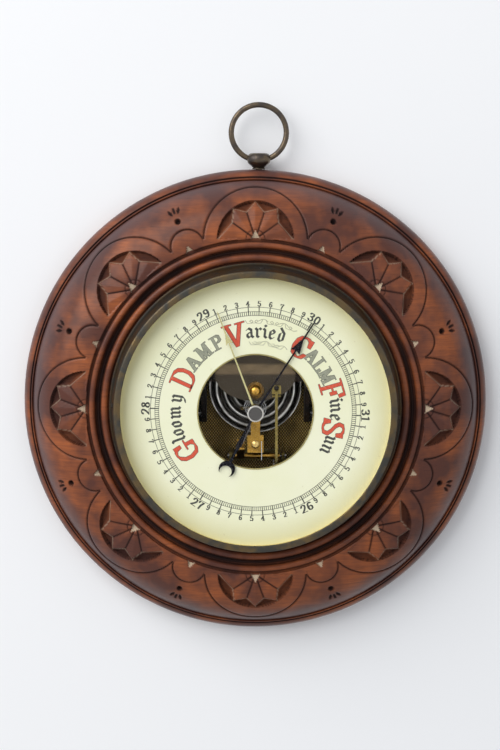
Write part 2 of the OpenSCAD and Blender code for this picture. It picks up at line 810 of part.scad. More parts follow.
module post_screws() {
    color(steel) upright() for (y = post_screw_y)
        translate([0, y, plate_back_z]) rotate([180, 0, 0]) round_screw(2, 1.2, post_screw_r, 6);
}

module base_pillars() {
    color(brass) upright() for (a = pillar_angles) rotate(a) translate([pillar_ring_r, 0, 0])
        difference() {
            disc(pillar_d / 2, case_wall, plate_back_z);
            translate([0, 0, plate_back_z - pillar_screw_l - 1])
                cylinder(r = pillar_screw_r + run_fit, h = pillar_screw_l + 2);
        }
}

module base_screws() {
    color(steel) upright() for (a = pillar_angles) rotate(a)
        translate([pillar_ring_r, 0, plate_z])
            round_screw(2.4, 1.4, pillar_screw_r, plate_t + pillar_screw_l);
}

// One thin corrugated shell of the capsule, open side down: drawn hollow, with a flat rim
// where the two are soldered together
module capsule_shell() {
    shell_h = capsule_t / 2;
    shell_face = concat([[capsule_r, 0.6], [capsule_r - 1.4, 0.6], [capsule_r - 2.2, shell_h - 1]],
                        [for (i = [0:24]) let (r = capsule_r - 3 - (capsule_r - 3 - boss_r) * i / 24)
                            [r, shell_h - 0.6 + 0.5 * sin(60 * i)]]);
    inner = [for (p = shell_face) [p[0] - (p[1] > 0.7 && p[0] > capsule_r - 2.5 ? shell_t : 0),
                                   max(p[1] - shell_t, 0)]];
    rotate_extrude($fn = 120)
        polygon(concat(shell_face, [[boss_r, shell_h], [boss_bore_r, shell_h],
                                    [boss_bore_r, shell_h - boss_t], [boss_r, shell_h - boss_t]],
                       [for (i = [len(inner) - 2:-1:2]) inner[i]],
                       [[capsule_r - 1.8, 0], [capsule_r, 0]]));
}

module capsule_upper() {
    color(nickel) upright() translate([0, capsule_y, capsule_mid_z]) capsule_shell();
}

module capsule_lower() {
    color(nickel) upright() translate([0, capsule_y, capsule_mid_z]) rotate([180, 0, 0])
        capsule_shell();
}

module capsule_post() {
    // a post brazed to the upper shell, which passes through the mainspring to the cap
    color(steel) upright() translate([0, capsule_y, 0]) {
        disc(boss_bore_r, capsule_top_z - boss_t, capsule_top_z);
        disc(3.6, capsule_top_z, capsule_top_z + 0.7);
        disc(post_r, capsule_top_z + 0.7, leaf_top_z + move_gap + 1.4);
    }
}

module acorn_cap() {
    color(brass) upright() translate([0, capsule_y, leaf_top_z + move_gap]) difference() {
        union() {
            cylinder(r = 4.85, h = 0.9);
            cylinder(r = 3.3, h = 2.4);
            translate([0, 0, 2.2]) intersection() {
                sphere(r = 3.3);
                cylinder(r = 4, h = 4);
            }
        }
        translate([0, 0, -1]) cylinder(r = post_r, h = 2.4);
    }
}

module rear_adjuster() {
    color(steel) upright() translate([0, capsule_y, 0]) difference() {
        union() {
            disc(adjuster_r, 2.2, capsule_z);
            disc(boss_bore_r, capsule_z, capsule_z + boss_t);
        }
        translate([-4, -0.5, 0]) cube([8, 1, 3.4]);
    }
}

module adjuster_bush() {
    color(brass) upright() translate([0, capsule_y, 0]) {
        disc(bush_r, plate_back_z - 2.4, plate_z, adjuster_r + run_fit);
        disc(bush_r + 2, plate_back_z - 2.4, plate_back_z, adjuster_r + run_fit);
    }
}

// The iron bridge that stands astride the capsule and holds the mainspring
module spring_bridge() {
    low_y = capsule_y - bridge_low;
    beam_y = [capsule_y + bridge_high - beam_w, capsule_y + bridge_high];
    color(iron) upright() difference() {
        union() {
            // each cheek slopes down in front of the beam
            for (x = [bridge_x, -bridge_x - cheek_t]) translate([x, 0, plate_z])
                rotate([90, 0, 90]) linear_extrude(cheek_t)
                    polygon([[low_y, 0], [low_y, 5], [low_y + 4, 9], [beam_y[0] - 4, beam_z - plate_z],
                             [beam_y[1], beam_z - plate_z], [beam_y[1], 0]]);
            for (x = [bridge_x, -bridge_x - bridge_foot]) translate([x, low_y, plate_z])
                cube([bridge_foot, beam_y[1] - low_y, bridge_foot_t]);
            translate([-bridge_x - 1, beam_y[0], beam_back_z])
                cube([2 * bridge_x + 2, beam_y[1] - beam_y[0], beam_t]);
        }
        for (s = [-1, 1], y = bridge_screw_y)
            translate([s * bridge_screw_x, y, plate_z - 1]) cylinder(r = bridge_screw_r + run_fit, h = 4);
        for (s = [-1, 1]) translate([s * spring_screw_x, spring_screw_y, beam_back_z - 1]) {
            cylinder(r = spring_screw_r + run_fit, h = beam_t + 2);
            cylinder(r = 2 + run_fit, h = 2.2);
        }
    }
}

module bridge_screws() {
    color(steel) upright() for (s = [-1, 1], y = bridge_screw_y)
        translate([s * bridge_screw_x, y, plate_z + bridge_foot_t])
            round_screw(2.2, 1.3, bridge_screw_r, bridge_foot_t + plate_t);
}

// Outline of the mainspring's upper leaf, seen from the front: half an oval under the bend
module leaf_outline() {
    hull() {
        translate([0, leaf_y]) scale([(spring_w / 2 - 0.5) / leaf_r, 1]) circle(r = leaf_r, $fn = 72);
        translate([-spring_w / 2, bend_y - 1]) square([spring_w, 1]);
    }
}

module mainspring() {
    color(iron) upright() difference() {
        union() {
            translate([0, 0, leaf_high_z - spring_t / 2]) linear_extrude(spring_t) leaf_outline();
            // the bend, then the lower leaf that lies on the beam
            translate([-spring_w / 2, bend_y, (leaf_low_z + leaf_high_z) / 2]) rotate([90, 0, 90])
                linear_extrude(spring_w) intersection() {
                    difference() {
                        circle(r = spring_pitch / 2 + spring_t / 2);
                        circle(r = spring_pitch / 2 - spring_t / 2);
                    }
                    translate([0, -10]) square([20, 20]);
                }
            translate([-spring_w / 2, bend_y - 5, leaf_low_z - spring_t / 2])
                cube([spring_w, 5, spring_t]);
        }
        translate([0, capsule_y, leaf_low_z]) cylinder(r = post_r + 0.5, h = spring_pitch + 4);
        for (s = [-1, 1]) translate([s * spring_screw_x, spring_screw_y, beam_z - 1])
            cylinder(r = spring_screw_r + run_fit, h = spring_t + 2);
    }
}

module spring_screws() {
    // they hold the lower leaf from behind, through the beam
    color(steel) upright() for (s = [-1, 1])
        translate([s * spring_screw_x, spring_screw_y, beam_back_z + 0.1]) {
            cylinder(r = 2, h = 1.1);
            cylinder(r = spring_screw_r, h = beam_t + spring_t - 0.1);
        }
}

module main_lever() {
    // a brass block on the leaf, and a narrow bar on edge that runs down to the link
    color(brass) upright() difference() {
        union() {
            translate([lever_x - lever_block[0] / 2, capsule_y - 2.2, lever_z]) cube(lever_block);
            translate([lever_x - lever_w / 2, link_y - 1.4, lever_z])
                cube([lever_w, capsule_y - 1 - link_y + 1.4, lever_deep]);
            translate([lever_x - cross_pin_l / 2, capsule_y - 3.4, lever_z + 1.2]) rotate([0, 90, 0])
                cylinder(r = 0.6, h = cross_pin_l, $fn = 24);
            translate([lever_x - lever_w / 2 - 1.4, link_y, link_pin_z]) rotate([0, 90, 0])
                cylinder(r = 0.4, h = 1.8, $fn = 24);
        }
        translate([lever_x, capsule_y + 1.2, lever_z - 1]) cylinder(r = 0.8, h = 4);
    }
}

module lever_screw() {
    color(steel) upright() translate([lever_x, capsule_y + 1.2, lever_z + lever_block[2]])
        round_screw(1.5, 0.9, 0.75, 1.3);
}

module lever_link() {
    // a flat link with an eye at each end, the lower one with room for the crank's swing
    x = lever_x - lever_w / 2 - 1.1;
    color(steel) upright() translate([x, 0, 0]) rotate([90, 0, 90]) linear_extrude(0.8) difference() {
        union() {
            translate([link_y, link_pin_z]) circle(r = 1.1, $fn = 32);
            translate([link_y, rocker_z]) circle(r = 1.65, $fn = 32);
            translate([link_y - 0.5, rocker_z]) square([1, link_pin_z - rocker_z]);
        }
        translate([link_y, link_pin_z]) circle(r = 0.4 + run_fit, $fn = 32);
        translate([link_y, rocker_z]) circle(r = 1.15, $fn = 32);
    }
}

module rocking_bar() {
    left = ear_x[0] + ear_t + 1.2;
    right = ear_x[1] - ear_t - 1.2;
    color(brass) upright() translate([0, -rocker_drop, rocker_z]) difference() {
        union() {
            translate([left, 0, 0]) rotate([0, 90, 0]) cylinder(r = rocker_bar_r, h = right - left);
            // the arm that pulls the chain
            translate([arm_x - arm_w / 2, 0, 0]) rotate([90, 0, 90]) linear_extrude(arm_w) hull() {
                circle(r = 1.8, $fn = 32);
                translate(arm_tip) circle(r = 1, $fn = 32);
            }
            // the finger that balances the chain's pull
            translate([arm_x - arm_w / 2, 0, 0]) cube([arm_w, finger_reach, 1.2]);
            // the crank and the pin that the link pulls
            translate([lever_x + lever_w / 2 + 0.2, 0, 0]) rotate([90, 0, 90]) linear_extrude(0.9) hull() {
                circle(r = 1.5, $fn = 32);
                translate([-crank_r, 0]) circle(r = 0.8, $fn = 32);
            }
            translate([lever_x - lever_w / 2 - 1.3, -crank_r, 0]) rotate([0, 90, 0])
                cylinder(r = 0.35, h = lever_w + 1.8, $fn = 24);
        }
        for (x = [left - 1, right - 1]) translate([x, 0, 0]) rotate([0, 90, 0])
            cylinder(r = pivot_r + run_fit, h = 2);
    }
}

module rocker_bracket() {
    color(brass) upright() difference() {
        union() {
            translate([ear_x[0], bracket_y, plate_z])
                cube([ear_x[1] - ear_x[0], bracket_w, bracket_t]);
            for (x = [ear_x[0], ear_x[1] - ear_t])
                translate([x, -rocker_drop - ear_w / 2, plate_z])
                    cube([ear_t, ear_w, rocker_z + ear_w / 2 - plate_z]);
        }
        translate([ear_x[0] - 1, -rocker_drop, rocker_z]) rotate([0, 90, 0])
            cylinder(r = pivot_screw_r + run_fit, h = ear_x[1] - ear_x[0] + 2);
        for (x = bracket_screw_x)
            translate([x, bracket_y + 2.2, plate_z - 1]) cylinder(r = bracket_screw_r + run_fit, h = 4);
    }
}

module bracket_screws() {
    color(steel) upright() for (x = bracket_screw_x)
        translate([x, bracket_y + 2.2, plate_z + bracket_t])
            round_screw(1.8, 1, bracket_screw_r, bracket_t + plate_t);
}

module pivot_screws() {
    color(steel) upright() for (s = [-1, 1]) {
        outer = s < 0 ? ear_x[0] : ear_x[1];
        translate([outer, -rocker_drop, rocker_z]) rotate([0, s * 90, 0]) {
            translate([0, 0, -ear_t - 0.6]) cylinder(r = pivot_screw_r, h = ear_t + 0.8);
            translate([0, 0, -ear_t - 1.9]) cylinder(r = pivot_r, h = 2);
            cylinder(r = 1.6, h = 1);
        }
    }
}

wood_frame();
hanger_stem();
hanger_ring();
case_drum();
case_flange();
case_screws();
dial_ledge();
bezel();
bezel_screws();
glass();
glass_ring();
dial_plate();
dial_rim();
set_knob();
set_spindle();
set_washer();
set_hand();
index_hand();
index_collet();
arbor();
arbor_post();
post_screws();
arbor_cock();
cock_screw();
steady_wire();
hairspring();
hairspring_stud();
chain();
base_plate();
base_pillars();
base_screws();
capsule_lower();
capsule_upper();
capsule_post();
acorn_cap();
rear_adjuster();
adjuster_bush();
spring_bridge();
bridge_screws();
mainspring();
spring_screws();
main_lever();
lever_screw();
lever_link();
rocking_bar();
rocker_bracket();
bracket_screws();
pivot_screws();
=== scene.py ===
"""Looks of a round wall barometer: carved frame, dark bezel, printed dial and open movement.

Every new piece is modelled on the bench, lying on its back, in millimetres: x to the right,
y up the dial, z from the back face towards the viewer. Bench.finish turns it upright into the
CAD model's frame, in metres, and hands it to its body.
"""
import logging
import math
from abc import ABC, abstractmethod
from dataclasses import dataclass, field
from enum import Enum
from typing import Sequence

import bmesh
import bpy
import numpy as np
from mathutils import Matrix, Vector


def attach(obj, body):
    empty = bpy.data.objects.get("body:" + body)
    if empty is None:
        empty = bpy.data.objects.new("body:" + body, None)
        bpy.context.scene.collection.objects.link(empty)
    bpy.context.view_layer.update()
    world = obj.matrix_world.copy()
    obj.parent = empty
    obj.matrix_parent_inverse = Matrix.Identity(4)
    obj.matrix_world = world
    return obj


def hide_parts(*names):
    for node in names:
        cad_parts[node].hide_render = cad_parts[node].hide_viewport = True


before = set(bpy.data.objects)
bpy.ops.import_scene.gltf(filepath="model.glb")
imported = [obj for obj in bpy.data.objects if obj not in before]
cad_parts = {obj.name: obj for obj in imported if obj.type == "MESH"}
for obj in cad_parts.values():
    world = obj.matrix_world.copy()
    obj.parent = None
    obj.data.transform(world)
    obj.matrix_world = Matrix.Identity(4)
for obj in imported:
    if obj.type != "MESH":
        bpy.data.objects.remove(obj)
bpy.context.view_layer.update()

MM = 0.001
UPRIGHT = Matrix.Rotation(math.pi / 2, 4, "X") @ Matrix.Scale(MM, 4)

Point = tuple[float, float]
Colour = tuple[float, float, float]
Stroke = Sequence[Point]
Array = np.ndarray
Carving = tuple[Array, Array, Array]
Socket = bpy.types.NodeSocket
Node = bpy.types.Node
Piece = bpy.types.Object
Material = bpy.types.Material
Finishes = dict[str, Material]

log = logging.getLogger("barometer")


class Body(Enum):
    """The bodies of the CAD model that new pieces ride on."""

    FRAME = "frame"
    RING = "ring"


class Slot(Enum):
    """The record's material slots, one named for each new piece."""

    WOOD = "wood"
    BRONZE = "dark_bronze"
    IVORY = "dial_ivory"


class Mark(Enum):
    """Names of the attributes that carry the wood's marks: painted shade in cuts and grooves, pale chips,
    and a painted slate-grey reflection on the steep outer slopes.
    """

    # painted shade in the cuts and grooves
    CUT = "cut"
    CHIP = "chip"
    # painted slate-grey reflection on the steep outer slopes
    COOL = "cool"


class Nodes:
    """A node tree in the making."""

    def __init__(self, tree: bpy.types.NodeTree, output: str) -> None:
        """Empties the tree and gives it an output node of the kind named."""
        self.tree = tree
        self.tree.nodes.clear()
        self.output = self.add(output)

    def feed(self, socket: Socket, value: object) -> None:
        """Links an input to an output socket, or sets it to a number, vector or colour."""
        if isinstance(value, Socket):
            self.tree.links.new(value, socket)
        elif socket.type == "RGBA":
            socket.default_value = (*value, 1.0)
        else:
            socket.default_value = value

    def add(self, kind: str, inputs: dict[str | int, object] | None = None,
            **settings: object) -> Node:
        """Adds one node.

        Args:
            kind: Its type, without the leading ShaderNode.
            inputs: What its input sockets get, by name or index.
            settings: Values of its own properties.

        Returns:
            The node.
        """
        node = self.tree.nodes.new("ShaderNode" + kind)
        for name, value in settings.items():
            setattr(node, name, value)
        for key, value in (inputs or {}).items():
            self.feed(node.inputs[key], value)
        return node

    def calc(self, kind: str, first: object, second: object) -> Socket:
        """One Math node of a kind, on two sockets or numbers."""
        return self.add("Math", {0: first, 1: second}, operation=kind).outputs[0]

    def times(self, first: object, second: object) -> Socket:
        """The product of two sockets or numbers."""
        return self.calc("MULTIPLY", first, second)

    def spread(self, value: Socket, low: float, high: float, to_low: float = 0.0,
               to_high: float = 1.0) -> Socket:
        """Maps a value's range low..high onto to_low..to_high, clamped."""
        return self.add("MapRange", {"Value": value, "From Min": low, "From Max": high,
                                     "To Min": to_low, "To Max": to_high}).outputs[0]

    def show(self, first: Node, second: Node, share: Socket) -> None:
        """Sends two shaders to the output, mixed with a share of the second."""
        mixed = self.add("MixShader", {0: share, 1: first.outputs[0], 2: second.outputs[0]})
        self.feed(self.output.inputs["Surface"], mixed.outputs[0])


class Recipe(Nodes):
    """A material in the making: one Principled shader and the nodes that feed it."""

    def __init__(self, name: str) -> None:
        """Starts a material under a finish's name."""
        self.material = bpy.data.materials.new(name)
        self.material.use_nodes = True
        super().__init__(self.material.node_tree, "OutputMaterial")
        self.shader = self.add("BsdfPrincipled")
        self.feed(self.output.inputs["Surface"], self.shader.outputs[0])

    def set(self, **values: object) -> None:
        """Fills the Principled shader's sockets, named with underscores for spaces."""
        for name, value in values.items():
            self.feed(self.shader.inputs[name.replace("_", " ")], value)

    def place(self, scale: Sequence[float] = (1, 1, 1), turn: Sequence[float] = (0, 0, 0),
              shift: Sequence[float] = (0, 0, 0)) -> Socket:
        """Object coordinates in metres, scaled, turned (in radians) and shifted."""
        source = self.add("TexCoord").outputs["Object"]
        return self.add("Mapping", {"Vector": source, "Scale": scale, "Rotation": turn,
                                    "Location": shift}).outputs[0]

    def reach(self, up: float = 0.0) -> Socket:
        """Distance in mm from an axis through the front that lies up mm above the dial's."""
        at = self.place(scale=(1 / MM, 0, 1 / MM), shift=(0, 0, -up))
        return self.add("VectorMath", {0: at}, operation="LENGTH").outputs["Value"]

    def rise(self) -> Socket:
        """Height above the dial's axis, in millimetres."""
        return self.add("SeparateXYZ", {0: self.place(scale=(1 / MM, 1 / MM, 1 / MM))}).outputs["Z"]

    def noise(self, scale: float, detail: float = 3.0, rough: float = 0.55, warp: float = 0.0,
              at: Socket | None = None) -> Socket:
        """A noise value between 0 and 1.

        Args:
            scale: Its scale, per metre.
            detail: Number of octaves.
            rough: How strong the finer octaves are.
            warp: Distortion.
            at: Where it is read, if not at the plain object coordinates.

        Returns:
            The value's socket.
        """
        at = self.place() if at is None else at
        return self.add("TexNoise", {"Vector": at, "Scale": scale, "Detail": detail,
                                     "Roughness": rough, "Distortion": warp}).outputs[0]

    def blend(self, share: object, first: object, second: object) -> Socket:
        """Mixes two colours, with a share of the second."""
        return self.add("Mix", {0: share, 6: first, 7: second}, data_type="RGBA").outputs[2]

    def mark(self, name: Mark) -> Socket:
        """The value of one of the piece's own marks."""
        return self.add("Attribute", attribute_name=name.value).outputs["Fac"]

    def relief(self, height: Socket, depth_mm: float, strength: float = 0.5) -> None:
        """Lets a height pattern roughen the surface.

        Args:
            height: The pattern.
            depth_mm: What a difference of 1 in the pattern is worth, in millimetres.
            strength: The Bump node's strength.
        """
        self.set(Normal=self.add("Bump", {"Strength": strength, "Distance": depth_mm * MM,
                                          "Height": height}).outputs[0])

    def open_up(self, share: Socket) -> None:
        """Lets light straight through the surface as far as the share says."""
        self.show(self.shader, self.add("BsdfTransparent"), share)


class Finish(ABC):
    """A finish: its name and the recipe of its material."""

    name: str

    @abstractmethod
    def fill(self, mix: Recipe) -> None:
        """Feeds the recipe's shader."""

    def make(self) -> Material:
        """Builds the material.

        Returns:
            The finished material.
        """
        recipe = Recipe(self.name)
        self.fill(recipe)
        return recipe.material


@dataclass(frozen=True)
class WoodFinish(Finish):
    """Old polished hardwood: red-brown with worn orange places, painted shade darkening every cut, and a
    painted slate-grey reflection on the steep outer slopes.
    """

    name: str = "polished_wood"
    warm: Colour = (0.35, 0.098, 0.030)
    deep: Colour = (0.090, 0.030, 0.020)
    black: Colour = (0.012, 0.007, 0.007)
    slate: Colour = (0.085, 0.055, 0.058)
    pale: Colour = (0.62, 0.50, 0.36)

    def fill(self, mix: Recipe) -> None:
        """Patches, grain and pores, then the carving's marks: painted shade, pale chips and a painted
        reflection.
        """
        patch = mix.spread(mix.noise(34, 3, 0.6, at=mix.place(shift=(0.3, 0.1, 0.7))), 0.40, 0.66)
        grain = mix.noise(52, 5, 0.62, 0.35, mix.place(scale=(1, 0.35, 14), turn=(0, 0.06, 0)))
        pores = mix.spread(mix.noise(150, 2, 0.5, at=mix.place(scale=(1, 1, 22))), 0.60, 0.74)
        streak = mix.spread(mix.spread(grain, 0.36, 0.68), 0, 1, 0.55, 1.0)
        body = mix.blend(mix.times(patch, streak), self.deep, self.warm)
        cut, chip = mix.mark(Mark.CUT), mix.mark(Mark.CHIP)
        # pores are the wood's own colour; the first mark paints shade in black and the third paints a
        # slate-grey reflection
        for share, colour in ((mix.times(pores, 0.45), self.black),
                              (mix.times(mix.mark(Mark.COOL), 0.75), self.slate),
                              (cut, self.black), (chip, self.pale)):
            body = mix.blend(share, body, colour)
        # cuts, whose dark is painted shade, and chips get less coat and more roughness
        shade_or_chip = mix.calc("MAXIMUM", cut, chip)
        smear = mix.spread(mix.noise(60, 4, 0.6), 0.3, 0.7, 0.34, 0.5)
        mix.set(Base_Color=body, Coat_Weight=mix.spread(shade_or_chip, 0.05, 0.5, 0.14, 0.0),
                Coat_Roughness=0.2, Specular_IOR_Level=0.14,
                Roughness=mix.calc("MAXIMUM", smear, mix.spread(shade_or_chip, 0.1, 0.6, 0.0, 0.85)))
        mix.relief(mix.calc("ADD", mix.times(grain, 0.6), mix.noise(330)), 0.16, 0.55)


@dataclass(frozen=True)
class MetalFinish(Finish):
    """A metal with two colours in patches, and worn or dull places."""

    name: str
    bright: Colour
    dull: Colour
    patch_size: float
    patch_low: float
    patch_high: float
    rough_low: float
    rough_high: float
    metallic: float = 1.0
    relief_mm: float = 0.03

    def fill(self, mix: Recipe) -> None:
        """Patches with a fine grain."""
        patch = mix.noise(1000 / self.patch_size, 4, 0.62, 0.3, mix.place(shift=(0.21, 0.4, 0.13)))
        fine = mix.noise(900, 3, 0.6)
        share = mix.spread(patch, self.patch_low, self.patch_high)
        tired = mix.calc("ADD", mix.times(share, 0.6), mix.times(fine, 0.4))
        mix.set(Base_Color=mix.blend(share, self.bright, self.dull), Metallic=self.metallic,
                Roughness=mix.spread(tired, 0.15, 0.85, self.rough_low, self.rough_high))
        mix.relief(mix.calc("ADD", fine, mix.times(patch, 0.7)), self.relief_mm, 0.6)


@dataclass(frozen=True)
class HatchedBrass(Finish):
    """Old brass with a fine crossed hatching cut into its face."""

    name: str = "hatched_brass"
    ridge: Colour = (0.62, 0.42, 0.13)
    furrow: Colour = (0.075, 0.050, 0.020)
    pitch_mm: float = 1.25
    tilt: float = 38.0
    unit_band: float = 0.314

    def fill(self, mix: Recipe) -> None:
        """Two crossed waves under stains; a wave of scale 1 repeats after the unit band, in metres."""
        weave = 1.0
        for tilt in (self.tilt, -self.tilt):
            at = mix.place(turn=(0, math.radians(tilt), 0))
            wave = mix.add("TexWave", {"Vector": at, "Distortion": 0.6,
                                       "Scale": self.unit_band / (self.pitch_mm * MM)})
            weave = mix.times(weave, wave.outputs["Fac"])
        stain = mix.spread(mix.noise(90, 4, 0.6), 0.34, 0.6, 0.35, 1)
        share = mix.times(mix.spread(weave, 0.06, 0.5), stain)
        mix.set(Base_Color=mix.blend(share, self.furrow, self.ridge), Metallic=0.8,
                Specular_IOR_Level=0.1, Roughness=mix.spread(share, 0, 1, 0.6, 0.33))
        mix.relief(weave, 0.25, 0.8)


@dataclass(frozen=True)
class DialFinish(Finish):
    """The aged dial's cream coating, yellow-green in the middle, with painted shade of the bezel
    darkening it towards the rim.
    """

    name: str = "dial_cream"
    cream: Colour = (0.83, 0.84, 0.58)
    fresh: Colour = (0.87, 0.875, 0.66)
    tanned: Colour = (0.70, 0.68, 0.40)
    stain: Colour = (0.50, 0.45, 0.26)
    tan_from: float = 62.0
    tan_to: float = 77.0

    def fill(self, mix: Recipe) -> None:
        """Clouds, painted shade towards the rim, and specks."""
        cloud = mix.noise(22, 4, 0.55)
        specks = mix.times(mix.spread(mix.noise(420, 2, 0.5), 0.72, 0.80), 0.35)
        body = mix.blend(mix.spread(cloud, 0.38, 0.66), self.fresh, self.cream)
        # painted shade of the bezel, darker towards the rim
        body = mix.blend(mix.spread(mix.reach(), self.tan_from, self.tan_to), body, self.tanned)
        mix.set(Base_Color=mix.blend(specks, body, self.stain), Specular_IOR_Level=0.3,
                Roughness=mix.spread(cloud, 0.3, 0.7, 0.5, 0.62))
        mix.relief(mix.noise(700), 0.012, 0.4)


@dataclass(frozen=True)
class RingedMetal(Finish):
    """A metal that changes colour at a radius from the dial's axis, softly blotched."""

    name: str
    inner: Colour
    outer: Colour
    radius: float
    axis_up: float = 0.0
    soft: float = 0.5
    rough: float = 0.3

    def fill(self, mix: Recipe) -> None:
        """The change of colour and the blotches."""
        blotch = mix.noise(160, 4, 0.6)
        share = mix.spread(mix.reach(self.axis_up), self.radius - self.soft / 2,
                           self.radius + self.soft / 2)
        body = mix.blend(share, self.inner, self.outer)
        body = mix.blend(mix.spread(blotch, 0.45, 0.75, 0.0, 0.4), body, self.inner)
        mix.set(Base_Color=body, Metallic=0.9,
                Roughness=mix.spread(blotch, 0.3, 0.7, self.rough * 0.8, self.rough * 1.3))
        mix.relief(mix.noise(800), 0.02)


@dataclass(frozen=True)
class RibbedMetal(Finish):
    """The capsule's thin corrugated sheet, with painted highlights on its ribs and painted shade between
    them.
    """

    name: str = "ribbed_nickel"
    # bright is the painted highlight and dark the painted shade between the ribs
    bright: Colour = (0.66, 0.64, 0.60)
    dark: Colour = (0.035, 0.031, 0.027)
    axis_up: float = 11.0
    outer_rib_r: float = 22.4
    pitch: float = 4.375

    def fill(self, mix: Recipe) -> None:
        """Painted highlight rings in step with the ribs, broken up by noise."""
        phase = mix.times(mix.calc("SUBTRACT", mix.reach(self.axis_up), self.outer_rib_r),
                          2 * math.pi / self.pitch)
        # painted highlight on the ribs' crests, painted shade between them
        rib_highlight = mix.spread(mix.calc("COSINE", phase, 0), 0.1, 1.0)
        share = mix.times(rib_highlight, mix.spread(mix.noise(110), 0.35, 0.62, 0.3, 1.0))
        mix.set(Base_Color=mix.blend(share, self.dark, self.bright), Metallic=0.95,
                Roughness=mix.spread(share, 0, 1, 0.5, 0.24))
        mix.relief(mix.noise(700), 0.02)


@dataclass(frozen=True)
class SpringSteel(Finish):
    """The mainspring: dark, with a painted brown highlight where it bends and painted shadow of the dial
    above that.
    """

    name: str = "spring_steel"
    # band is the colour of the painted highlight on the bend
    band: Colour = (0.20, 0.145, 0.085)
    leaf: Colour = (0.062, 0.049, 0.035)
    band_from: float = 19.4
    band_to: float = 25.2
    soft: float = 1.4

    def fill(self, mix: Recipe) -> None:
        """The painted highlight band, broken up by clouds."""
        cloud = mix.noise(95, 4, 0.6, 0.3, mix.place(scale=(0.6, 1, 1.6)))
        # painted highlight between the two heights; above it the leaf's dark colour is also painted
        # shadow of the dial
        start = mix.spread(mix.rise(), self.band_from, self.band_from + self.soft)
        stop = mix.spread(mix.rise(), self.band_to, self.band_to + self.soft, 1, 0)
        bend_highlight = mix.times(mix.times(start, stop), mix.spread(cloud, 0.34, 0.6, 0.35, 1.0))
        mix.set(Base_Color=mix.blend(bend_highlight, self.leaf, self.band), Metallic=0.9,
                Roughness=mix.spread(cloud, 0.3, 0.7, 0.3, 0.46))
        mix.relief(mix.noise(600), 0.03)


@dataclass(frozen=True)
class InkFinish(Finish):
    """Printing ink, a little thin in places."""

    name: str
    full: Colour
    thin: Colour

    def fill(self, mix: Recipe) -> None:
        """Full ink with worn places."""
        wear = mix.spread(mix.noise(700, 3, 0.6), 0.5, 0.8)
        mix.set(Base_Color=mix.blend(wear, self.full, self.thin), Roughness=0.6)


@dataclass(frozen=True)
class ClearGlass(Finish):
    """Flat glass. Light on its way to what lies behind it passes straight through.

    Its index is low, because a pale room would otherwise lie over the dial like a veil.
    """

    name: str = "clear_glass"
    tint: Colour = (0.985, 0.992, 0.985)
    index: float = 1.1

    def fill(self, mix: Recipe) -> None:
        """Dusty glass, open to rays that gather light."""
        mix.set(Base_Color=self.tint, Transmission_Weight=1.0, IOR=self.index,
                Roughness=mix.spread(mix.noise(45, 3, 0.6), 0.5, 0.8, 0.0, 0.02))
        ray = mix.add("LightPath").outputs
        gathers = mix.calc("MAXIMUM", ray["Is Diffuse Ray"], ray["Is Glossy Ray"])
        mix.open_up(mix.calc("MAXIMUM", gathers, ray["Is Shadow Ray"]))


FINISHES: tuple[Finish, ...] = (
    WoodFinish(),
    MetalFinish("dark_bronze_patina", (0.115, 0.078, 0.036), (0.048, 0.046, 0.040),
                11, 0.36, 0.60, 0.32, 0.54, 0.85, 0.10),
    MetalFinish("ring_bronze", (0.115, 0.085, 0.055), (0.06, 0.05, 0.045),
                6, 0.40, 0.62, 0.25, 0.45, 0.9, 0.08),
    MetalFinish("lacquered_brass", (0.72, 0.50, 0.18), (0.42, 0.30, 0.13), 7, 0.45, 0.70, 0.22, 0.42),
    MetalFinish("pale_gold_brass", (0.85, 0.68, 0.32), (0.62, 0.48, 0.22), 9, 0.50, 0.75, 0.16, 0.30),
    RingedMetal("orange_brass", (0.62, 0.34, 0.065), (0.13, 0.075, 0.025), 3.3, 11.0, 0.4, 0.24),
    MetalFinish("faded_brass", (0.58, 0.53, 0.27), (0.40, 0.36, 0.17), 9, 0.50, 0.75, 0.24, 0.38),
    MetalFinish("rim_brass", (0.42, 0.36, 0.15), (0.27, 0.22, 0.08), 9, 0.45, 0.70, 0.26, 0.42),
    MetalFinish("dark_steel", (0.16, 0.15, 0.15), (0.08, 0.075, 0.07), 5, 0.45, 0.70, 0.28, 0.45),
    MetalFinish("olive_brass", (0.27, 0.205, 0.065), (0.13, 0.105, 0.04), 6, 0.42, 0.68, 0.28, 0.48),
    MetalFinish("amber_brass", (0.42, 0.235, 0.045), (0.20, 0.115, 0.028), 6, 0.45, 0.70, 0.26, 0.44),
    MetalFinish("tired_brass", (0.16, 0.115, 0.045), (0.07, 0.05, 0.022), 9, 0.42, 0.66, 0.36, 0.55),
    MetalFinish("plain_steel", (0.62, 0.62, 0.63), (0.40, 0.38, 0.36), 5, 0.50, 0.72, 0.22, 0.40),
    MetalFinish("blued_steel", (0.012, 0.012, 0.016), (0.03, 0.026, 0.024),
                8, 0.50, 0.72, 0.25, 0.40, 0.9, 0.01),
    MetalFinish("dark_iron", (0.022, 0.018, 0.016), (0.06, 0.036, 0.024),
                8, 0.48, 0.70, 0.42, 0.62, 0.6, 0.08),
    SpringSteel(),
    RibbedMetal(),
    HatchedBrass(),
    DialFinish(),
    InkFinish("black_ink", (0.045, 0.047, 0.040), (0.13, 0.13, 0.10)),
    InkFinish("grey_ink", (0.27, 0.28, 0.21), (0.38, 0.39, 0.29)),
    InkFinish("tick_ink", (0.13, 0.135, 0.10), (0.22, 0.22, 0.16)),
    InkFinish("faint_ink", (0.36, 0.36, 0.25), (0.50, 0.50, 0.35)),
    InkFinish("red_ink", (0.62, 0.075, 0.035), (0.70, 0.16, 0.08)),
    RingedMetal("knob_steel", (0.10, 0.095, 0.09), (0.62, 0.60, 0.56), 3.9),
    ClearGlass(),
)


